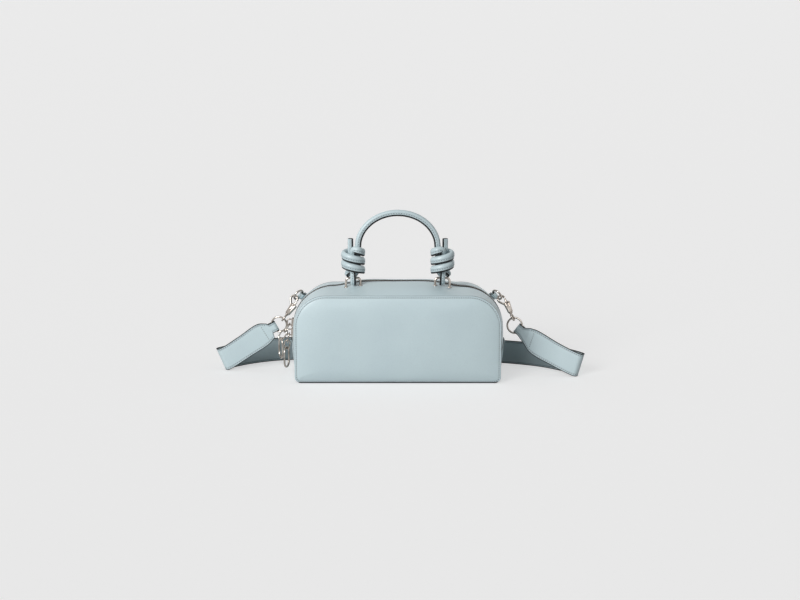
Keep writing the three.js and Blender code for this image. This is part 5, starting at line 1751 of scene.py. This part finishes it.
@dataclass
class StrapFittings:
    """Leather tab and ring on the shoulder, swivel bolt snap and strap ring, at one end of the bag."""

    form: BagForm
    finishes: Finishes
    sewing: Sewing
    end: StrapEnd
    tab_angle: float = 38
    tab_width: float = 7
    tab_leather: float = 1.4
    tab_start: float = 48
    tab_fold: float = 27
    ring_radius: float = 6.8
    ring_wire: float = 2.5
    ring_lift: float = 35
    wire_gap: float = 0.45
    grip_gap: float = 1.4
    grip_angle: float = 16
    block_length: float = 15
    block_width: float = 8
    block_thickness: float = 5.4
    claw_hole: float = 7.4
    claw_width: float = 2.4
    claw_thickness: float = 3.6
    bolt: float = 2.6
    bolt_low: float = 12.4
    knob: float = 2.2
    knob_reach: float = 2
    eye_radius: float = 4.2
    eye_wire: float = 2.5
    eye_drop: float = 6.5
    post: float = 2.8
    strap_ring_radius: float = 9.7
    strap_ring_wire: float = 2.4
    strap_ring_centre: Vector = field(default_factory=Vector)
    strap_way: Vector = field(default_factory=Vector)
    strap_up: Vector = field(default_factory=Vector)
    strap_face: Vector = field(default_factory=Vector)

    @property
    def name(self) -> str:
        """Left or right."""
        return self.end.hand.name.lower()

    def build(self) -> None:
        """Build and dress all the pieces of this end."""
        hand = self.end.hand.value
        c, s = turned(self.tab_angle)
        outward = Vector((hand * c, 0, s))
        climb = Vector((-hand * s, 0, c))
        fold, sag = self.tab(outward, climb)
        c, s = turned(self.ring_lift)
        reach = Vector((0, -c, 0)) + outward * s
        centre = fold - reach * (sag / 2) + reach * self.ring_radius
        span = 2 * self.ring_radius
        node = f"end_ring_{self.name}"
        ring = Wires.oval(f"{node}_metal", centre, reach, climb, span, span, self.ring_wire)
        ring.hand_over(Body(node), self.finishes.nickel, node)
        axes = self.hook_axes(centre, reach, climb)
        self.hook(axes)
        self.swivel(axes[0], axes[3])

    def tab(self, outward: Vector, climb: Vector) -> tuple[Vector, float]:
        """Leather loop that holds the end ring on the shoulder.

        Args:
            outward: Direction away from the bag.
            climb: Direction up the shoulder.

        Returns:
            The middle of its fold and the sag of the ring in it.
        """
        sag = self.ring_radius - sqrt(self.ring_radius ** 2 - (self.tab_width / 2) ** 2)
        radius = (self.ring_wire + self.tab_leather + sag) / 2 + self.wire_gap
        gap = self.form.seam_gap

        def low(y: float) -> float:
            """Rise of the lower layer."""
            bulge = self.form.shoulder_bulge * (1 - (y / self.form.band_edge) ** 2)
            return bulge + gap + self.tab_leather / 2

        rise = low(self.tab_fold) + radius

        def high(y: float) -> float:
            """Rise of the upper layer."""
            return blend(rise + radius, low(y) + self.tab_leather + gap, smooth((y - self.tab_fold) / 13))

        path = [(y, low(y), 0.0, -1.0) for y in (self.tab_start, 44, 41, 37, 34, 30)]
        for degrees in range(-90, -271, -15):
            c, s = turned(degrees)
            path.append((self.tab_fold + radius * c, rise + radius * s, c, s))
        path.extend((y, high(y), 0.0, 1.0) for y in (29, 31, 33, 35, 37.5, 40, 43, self.tab_start))
        hand = self.end.hand.value
        base = (Vector((hand * self.form.shoulder_x, 0, self.form.shoulder_z)) + outward * self.form.shoulder)
        shares = np.array([-0.5, -0.42, -0.3, -0.15, 0, 0.15, 0.3, 0.42, 0.5]) * self.tab_width
        layers = []
        for side in (1, -1):
            rows = []
            for y, up, face_y, face_out in path:
                middle = base + outward * up
                middle.y = y
                face = Vector((0, face_y, 0)) + outward * face_out
                rows.append([(middle + climb * s + face * (side * self.tab_leather / 2))[:] for s in shares])
            layers.append(np.array(rows))
        piece = sheet_piece(f"ring_tab_{self.name}_leather", layers[0], layers[1])
        piece.round_edges(0.35)
        piece.hand_over(Body.BAG, self.finishes.pale, f"ring_tab_{self.name}")
        rows = layers[0][-5:]
        out = np.tile(outward[:], (len(rows), 1))
        self.sewing.row(f"ring_tab_{self.name}_stitches", [(rows[:, 1], out), (rows[:, -2], out)], pitch=2.4,
                        length=1.9, width=0.5)
        fold = base + outward * rise
        fold.y = self.tab_fold
        return fold, sag

    def hook_axes(self, centre: Vector, reach: Vector, climb: Vector) -> tuple[Vector, ...]:
        """Origin and axes of the snap, whose claw grips the ring's lowest wire.

        Args:
            centre: Centre of the end ring.
            reach: Direction from the tab to the ring's far side.
            climb: Direction up the shoulder.

        Returns:
            The origin and the three axes.
        """
        c, s = turned(self.grip_angle)
        point = centre - climb * (self.ring_radius * c) + reach * (self.ring_radius * s)
        run = reach * c + climb * s
        pull = self.end.pull.normalized()
        through = -(run - pull * run.dot(pull)).normalized()
        claw = self.claw_centre()
        grip = claw + Vector((0, 0, (self.claw_hole - self.ring_wire) / 2 - self.grip_gap))
        eye = Vector((0, 0, -self.eye_drop)) - grip
        aside = pull.cross(through)
        x = pull * (eye.x / eye.length) - aside * (eye.z / eye.length)
        z = pull * (eye.z / eye.length) + aside * (eye.x / eye.length)
        return point - x * grip.x - z * grip.z, x, z.cross(x), z

    def claw_centre(self) -> Vector:
        """Centre of the claw's hole in the snap's own axes."""
        return Vector((-(self.bolt + self.claw_hole) / 2, 0, self.block_length + 5))

    def hook(self, axes: Sequence[Vector]) -> None:
        """Snap body with its claw, and the sprung bolt with its thumb knob.

        Args:
            axes: Origin and axes of the snap.
        """
        half = self.block_width / 2
        block = Wires.block("snap_block", (-half, -self.block_thickness / 2, 0),
                            (half, self.block_thickness / 2, self.block_length), 1.1)
        block.resize(lambda point: point.z < 2.2 * MM, (0.74, 0.8, 1))
        groove = Wires.block("snap_slot", (-1.45, -self.block_thickness, 7.2), (1.45, -1.2, 20), 0.4)
        block.focus()
        cut = block.item.modifiers.new("slot", "BOOLEAN")
        cut.operation = "DIFFERENCE"
        cut.object = groove.item
        bpy.ops.object.modifier_apply(modifier=cut.name)
        bpy.data.objects.remove(groove.item)
        claw = self.claw_centre()
        radius = (self.claw_hole + self.claw_width) / 2
        path = [(1.4 - half, 0, self.block_length - 4)]
        for degrees in range(232, 6, -8):
            c, s = turned(degrees)
            path.append((claw.x + radius * c, 0, claw.z + radius * s))
        wire = Wires.bent("snap_claw", path, self.claw_width, 5)
        wire.resize(lambda point: True, (1, self.claw_thickness / self.claw_width, 1))
        piece = Part.joined(f"hook_body_{self.name}_metal", [block, wire])
        piece.place(*axes)
        piece.close(45)
        piece.hand_over(Body(f"hook_{self.name}"), self.finishes.nickel, f"hook_body_{self.name}")
        rod = Wires.bar("bolt_rod", self.bolt, self.bolt_low, claw.z - 0.4, 24, 0.4)
        reach = self.block_thickness / 2 + self.knob_reach
        knob = Wires.bar("bolt_knob", self.knob, 0, reach, 24, 0.5)
        knob.place(Vector((0, 0, self.bolt_low + self.knob / 2 + 0.2)), X_AXIS, Z_AXIS, -Y_AXIS)
        piece = Part.joined(f"hook_bolt_{self.name}_metal", [rod, knob])
        piece.place(*axes)
        piece.close(45)
        piece.hand_over(Body(f"bolt_{self.name}"), self.finishes.nickel, f"hook_bolt_{self.name}")
        dress(f"hook_spring_{self.name}", self.finishes.steel)

    def swivel(self, origin: Vector, z: Vector) -> None:
        """Swivel eye under the snap and the strap ring that hangs in it.

        Args:
            origin: Origin of the snap.
            z: Axis of the snap.
        """
        way = self.end.strap_way.normalized()
        up = (self.end.strap_up - way * self.end.strap_up.dot(way)).normalized()
        face = way.cross(up).normalized()
        if face.y > 0:
            face = -face
        hang = (self.end.hang - face * self.end.hang.dot(face)).normalized()
        slack = self.eye_radius - (self.eye_wire + self.strap_ring_wire) / 2 - self.wire_gap
        held = origin - z * (self.eye_drop + slack)
        centre = held + hang * self.strap_ring_radius
        span = 2 * self.strap_ring_radius
        ring = Wires.oval(f"strap_ring_{self.name}_metal", centre, hang, face.cross(hang), span, span,
                          self.strap_ring_wire)
        ring.hand_over(Body.BAG, self.finishes.nickel, f"strap_ring_{self.name}")
        run = face.cross(hang)
        normal = (run - z * run.dot(z)).normalized()
        span = 2 * self.eye_radius
        middle = Vector((0, 0, -self.eye_drop))
        eye = Wires.oval("swivel_eye", middle, Z_AXIS, Y_AXIS, span, span, self.eye_wire)
        post = Wires.bar("swivel_post", self.post, self.eye_radius - self.eye_drop, 1.2, 24, 0.2)
        collar = Wires.bar("swivel_collar", 4.6, -1.5, -0.25, 28, 0.4)
        piece = Part.joined(f"hook_swivel_{self.name}_metal", [eye, post, collar])
        piece.place(origin, normal, z.cross(normal), z)
        piece.close(45)
        piece.hand_over(Body.BAG, self.finishes.nickel, f"hook_swivel_{self.name}")
        self.strap_ring_centre = centre
        self.strap_way = way
        self.strap_up = up
        self.strap_face = face


@dataclass
class ShoulderStrap:
    """Strap of two leathers with painted edges, lying round the bag from ring to ring."""

    finishes: Finishes
    sewing: Sewing
    right: StrapFittings
    left: StrapFittings
    width: float = 30
    leather: float = 1.6
    lining: float = 0.8
    lining_gap: float = 0.05
    stitch_inset: float = 2.4
    tab_width: float = 13
    tab_return: float = 14
    end_width: float = 22
    groove: float = 0.25
    reverse_inset: float = 0.3
    insets: tuple[float, ...] = (0, 1.0, 1.5, 1.9, 2.4, 2.9, 4.2)
    route: tuple[tuple[Triple, Triple], ...] = (
        ((159.5, 2.6, 38.5), (0.37, 0, 0.93)), ((167, 0, 28), (0.3, 0, 0.954)),
        ((195, -7.5, 12.5), (0.287, 0, 0.958)), ((215, -14, 3.2), (0.28, 0, 0.96)),
        ((222.5, -15.6, 0.6), (0.28, 0, 0.96)), ((226.2, -12.6, 0.6), (0.28, 0, 0.96)),
        ((225, -7.5, 0.6), (0.28, 0.02, 0.96)), ((207, 19, 0.6), (0.2, 0.05, 0.98)),
        ((181, 44, 0.6), (0.1, 0.08, 0.99)), ((141, 64, 0.6), (0.04, 0.1, 0.99)),
        ((90, 79, 0.6), (0, 0.08, 1)), ((0, 90, 0.6), (0, 0, 1)),
        ((-90, 91, 0.6), (0, 0.06, 1)), ((-152, 83, 0.6), (-0.06, 0.1, 0.99)),
        ((-189, 62, 0.6), (-0.15, 0.1, 0.98)), ((-215.5, 33.5, 0.6), (-0.34, 0.08, 0.93)),
        ((-220, 27.4, 0.6), (-0.4, 0.06, 0.91)), ((-217, 23, 0.6), (-0.41, 0.03, 0.91)),
        ((-209, 22.6, 4.6), (-0.42, 0, 0.9)), ((-189.5, 22.4, 17.5), (-0.44, 0, 0.9)),
        ((-164, 21.6, 34.5), (-0.5, 0, 0.865)), ((-157, 21, 42.5), (-0.52, 0, 0.85)))

    def build(self) -> None:
        """Build and dress the strap, its reverse and its stitches."""
        run = self.run()
        ends = [self.tab(self.right), self.tab(self.left)]
        whole = tuple(np.concatenate([a, b, c[::-1]]) for a, b, c in zip(ends[0], run, ends[1]))
        self.outer(whole, len(ends[0][0]), len(run[0]))
        self.reverse(run)

    def run(self, steps: int = 9) -> tuple[Array, ...]:
        """Middles, width directions, facing directions and widths along the route.

        Args:
            steps: Steps between points of the route.

        Returns:
            The four lists.
        """
        lower = np.array([point for point, _ in self.route])
        widths = [self.end_width, *[self.width] * (len(self.route) - 2), self.end_width]
        upper = lower + unit(np.array([up for _, up in self.route])) * np.array(widths)[:, None]
        low, _ = spline(lower, steps)
        high, _ = spline(upper, steps)
        across = unit(high - low)
        face = -unit(np.cross(across, unit(np.gradient(low, axis=0))))
        return (low + high) / 2, across, face, np.linalg.norm(high - low, axis=1)

    def tab(self, fittings: StrapFittings) -> tuple[Array, ...]:
        """The same lists for the strap's narrow end, folded round its ring.

        Args:
            fittings: Fittings of that end.

        Returns:
            The four lists, from the turned-back end to the outer side.
        """
        radius = fittings.strap_ring_wire / 2 + fittings.wire_gap + self.leather / 2
        apex = sqrt(fittings.strap_ring_radius ** 2 - (self.tab_width / 2) ** 2) - fittings.wire_gap
        path = [(self.tab_return, -radius, 0.0, -1.0), ((self.tab_return + apex) / 2, -radius, 0.0, -1.0)]
        for degrees in range(270, 89, -15):
            c, s = turned(degrees)
            path.append((apex + radius * c, radius * s, c, s))
        path.append((fittings.strap_ring_radius + fittings.strap_ring_wire, radius, 0.0, 1.0))
        way, face = fittings.strap_way, fittings.strap_face
        middles = [fittings.strap_ring_centre + way * w + face * o for w, o, _, _ in path]
        faces = [(way * fw + face * fo)[:] for _, _, fw, fo in path]
        up = np.tile(fittings.strap_up[:], (len(path), 1))
        return np.array([m[:] for m in middles]), up, np.array(faces), np.full(len(path), self.tab_width)

    def ribbon(self, name: str, lists: tuple[Array, ...], thickness: float, shift: float, narrow: float,
               groove: float) -> Part:
        """Ribbon of leather along the strap.

        Args:
            name: Name of the piece.
            lists: Middles, width directions, facing directions and widths.
            thickness: Thickness of the leather.
            shift: Shift along the facing direction.
            narrow: How much narrower than the strap it is.
            groove: Depth of the sewn grooves.

        Returns:
            The piece.
        """
        middle, across, face, width = lists
        edge = [(1, inset, exp(-((inset - self.stitch_inset) / 0.5) ** 2)) for inset in self.insets]
        profile = [*((-share, inset, dip) for share, inset, dip in edge),
                   *((share, self.insets[-1], 0.0) for share in (-0.5, 0.0, 0.5)), *reversed(edge)]
        layers = []
        for side in (1, -1):
            lines = []
            for share, inset, dip in profile:
                half = (width - narrow) / 2 - inset
                rise = side * thickness / 2 - (groove * dip if side > 0 else 0.0) + shift
                lines.append(middle + across * (share * half)[:, None] + face * rise)
            layers.append(np.stack(lines, 1))
        # Painted shade in the sewn grooves.
        seam = np.tile([0.7 * dip for _, _, dip in profile], (len(middle), 1))
        piece = sheet_piece(name, layers[0], layers[1], seam, lapped=True)
        piece.round_edges(0.3)
        return piece

    def stitch_lines(self, lists: tuple[Array, ...], rise: float, narrow: float) -> list[tuple[Array, ...]]:
        """Rows along both edges of the strap.

        Args:
            lists: Middles, width directions, facing directions and widths.
            rise: Height of the face above the middles.
            narrow: How much narrower than the strap the ribbon is.

        Returns:
            Points and outward directions of each row.
        """
        middle, across, face, width = lists
        half = (width - narrow) / 2 - self.stitch_inset
        out = face * copysign(1, rise)
        return [(middle + across * (sign * half)[:, None] + face * rise, out) for sign in (-1, 1)]

    def outer(self, whole: tuple[Array, ...], start: int, count: int) -> None:
        """Outer leather with a row of stitches on each edge and a cross row at each end.

        Args:
            whole: Lists of the whole strap with its tabs.
            start: Where the wide strap starts in them.
            count: How many entries the wide strap has.
        """
        piece = self.ribbon("strap_outer_leather", whole, self.leather, 0.0, 0.0, self.groove)
        piece.hand_over(Body.BAG, self.finishes.pale, "strap_outer")
        wide = tuple(part[start:start + count] for part in whole)
        rows = self.stitch_lines(wide, self.leather / 2 - 0.2, 0.0)
        for place in (7, count - 8):
            middle, across, face, width = (part[place] for part in wide)
            shares = np.linspace(-0.5, 0.5, 14)[:, None] * (width - 2 * self.stitch_inset)
            rows.append((middle + across * shares + face * self.leather / 2, np.tile(face, (14, 1))))
        self.sewing.row("strap_outer_stitches", rows)

    def reverse(self, run: tuple[Array, ...]) -> None:
        """Dark leather on the inner side of the strap."""
        inside = tuple(part[8:-8] for part in run)
        shift = -(self.leather + self.lining) / 2 - self.lining_gap
        piece = self.ribbon("strap_reverse_leather", inside, self.lining, shift, self.reverse_inset, 0.0)
        piece.hand_over(Body.BAG, self.finishes.reverse, "strap_lining")
        rows = self.stitch_lines(inside, shift - self.lining / 2, self.reverse_inset)
        self.sewing.row("strap_reverse_stitches", rows, dark=True)


@dataclass
class Studio:
    """Pale floor, soft light and the camera."""

    floor_half: float = 40.0
    floor_tone: float = 0.62
    floor_lift: float = 0.485
    near: tuple[tuple[str, Triple, float, bool], ...] = (
        ("side_light", (-0.6, -0.75, 0.55), 5.6, True), ("back_light", (0.4, 0.95, 0.25), 4.8, False))
    near_size: float = 0.5
    near_aim: Triple = (0, 0, 0.08)
    suns: tuple[tuple[str, Triple, float, float], ...] = (
        ("key_light", (0.5, 0.85, -0.42), 1.45, 30), ("fill_light", (-0.75, 0.35, -0.5), 0.14, 60))
    sun_place: Triple = (-1.0, -1.2, 1.6)
    surround: float = 0.52
    surround_dark: Colour = (0.08, 0.08, 0.08, 1)
    pale: Colour = field(default_factory=lambda: linear(231, 231, 231))
    distance: float = 2.4
    rise: float = 0.1036
    aside: float = 0.00273
    tilt: float = 10.0
    lens: float = 87.03
    sensor: float = 36
    far: float = 200
    front: float = -0.055

    def build(self) -> None:
        """Set the stage."""
        bpy.context.scene.view_settings.view_transform = "Standard"
        floor = self.floor()
        self.world()
        self.lamps()
        self.near_lamps(floor)
        self.camera()

    def floor(self) -> Item:
        """Large plain floor, a little paler to the eye than the light on it makes it.

        Returns:
            The floor.
        """
        clear_selection()
        bpy.ops.mesh.primitive_plane_add(size=2 * self.floor_half)
        floor = bpy.context.object
        floor.name = "studio_floor"
        nodes = MaterialNodes("studio_floor")
        lift = nodes.between(nodes.seen_rays(), (0, 0, 0, 1), (*[self.floor_lift] * 3, 1))
        nodes.shade(Base_Color=(*[self.floor_tone] * 3, 1), Roughness=0.9, Specular_IOR_Level=0.1,
                    Emission_Color=lift, Emission_Strength=1.0)
        floor.data.materials.append(nodes.material)
        return floor

    def world(self) -> None:
        """Even pale surround that turns dark behind the camera, as in a studio."""
        world = bpy.data.worlds.new("studio_surround")
        bpy.context.scene.world = world
        world.use_nodes = True
        nodes = Nodes(world.node_tree)
        parts = nodes.node("SeparateXYZ", Vector=nodes.node("TexCoord").outputs["Generated"])
        ramp = nodes.node("MapRange", Value=parts.outputs["Y"], From_Min=-0.75, From_Max=0.1)
        ramp.interpolation_type = "SMOOTHSTEP"
        back = nodes.tree.nodes["Background"]
        light = nodes.between(ramp.outputs["Result"], self.surround_dark, self.pale)
        nodes.put(back.inputs["Color"], light)
        nodes.put(back.inputs["Strength"], self.surround)
        plain = nodes.node("Background", Color=self.pale)
        choose = nodes.node("MixShader")
        for place, value in enumerate((nodes.seen_rays(), back.outputs[0], plain.outputs[0])):
            nodes.put(choose.inputs[place], value)
        nodes.put(nodes.tree.nodes["World Output"].inputs["Surface"], choose.outputs[0])

    @staticmethod
    def lamp(name: str, kind: str, energy: float, place: Triple, way: Vector) -> Item:
        """Add a lamp.

        Args:
            name: Name of the lamp.
            kind: Blender's name of its kind.
            energy: Its strength.
            place: Its place in metres.
            way: Direction of its light.

        Returns:
            The lamp.
        """
        data = bpy.data.lights.new(name, kind)
        data.energy = energy
        lamp = bpy.data.objects.new(name, data)
        lamp.location = place
        lamp.rotation_mode = "QUATERNION"
        lamp.rotation_quaternion = way.to_track_quat("-Z", "Y")
        bpy.context.scene.collection.objects.link(lamp)
        return lamp

    def lamps(self) -> None:
        """Wide soft key from the upper left front, and a weak one from the right."""
        for name, way, strength, spread in self.suns:
            lamp = self.lamp(name, "SUN", strength, self.sun_place, Vector(way))
            lamp.data.angle = radians(spread)

    def near_lamps(self, floor: Item) -> None:
        """Soft lamps near the bag, at its left and behind it, that leave the floor even.

        Args:
            floor: The floor.
        """
        lit = bpy.data.collections.new("near_lamp_receivers")
        lit.objects.link(floor)
        lit.collection_objects[0].light_linking.link_state = "EXCLUDE"
        for name, place, watts, glints in self.near:
            lamp = self.lamp(name, "AREA", watts, place, Vector(self.near_aim) - Vector(place))
            lamp.data.size = self.near_size
            lamp.light_linking.receiver_collection = lit
            lamp.visible_glossy = glints

    def camera(self) -> None:
        """Camera at the photograph's place, looking slightly down."""
        c, s = turned(self.tilt)
        forward = Vector((0, c, -s))
        up = Vector((0, s, c))
        data = bpy.data.cameras.new("camera")
        data.lens = self.lens
        data.sensor_width = self.sensor
        data.sensor_fit = "HORIZONTAL"
        data.clip_end = self.far
        camera = bpy.data.objects.new("camera", data)
        camera.location = Vector((self.aside, self.front, 0)) - forward * self.distance + up * self.rise
        camera.rotation_mode = "QUATERNION"
        camera.rotation_quaternion = forward.to_track_quat("-Z", "Y")
        bpy.context.scene.collection.objects.link(camera)
        bpy.context.scene.camera = camera


def main() -> None:
    """Build the stage and the bag's sub-assemblies in order."""
    logging.basicConfig(level=logging.INFO, format="%(message)s")
    Studio().build()
    finishes = Finishes()
    sewing = Sewing(finishes)
    form = BagForm()
    BagBody(form, finishes, sewing).build()
    ZipFastener(form, finishes, sewing).build()
    KnottedHandle(form, finishes, sewing).build()
    fittings = {}
    for end in (
            StrapEnd(Hand.RIGHT, Vector((18.2, -11.8, -28.3)), Vector((0.3, 0, -0.95)),
                     Vector((0.72, -0.36, -0.6)), Vector((0.41, 0, 0.91))),
            StrapEnd(Hand.LEFT, Vector((-12, -2.3, -22.1)), Vector((-0.62, 0, -0.78)),
                     Vector((-0.86, 0.2, -0.47)), Vector((-0.55, 0, 0.83)))):
        fittings[end.hand] = StrapFittings(form, finishes, sewing, end)
        fittings[end.hand].build()
    ShoulderStrap(finishes, sewing, fittings[Hand.RIGHT], fittings[Hand.LEFT]).build()
    clear_selection()
    bpy.context.view_layer.update()


if __name__ == "__main__":
    main()
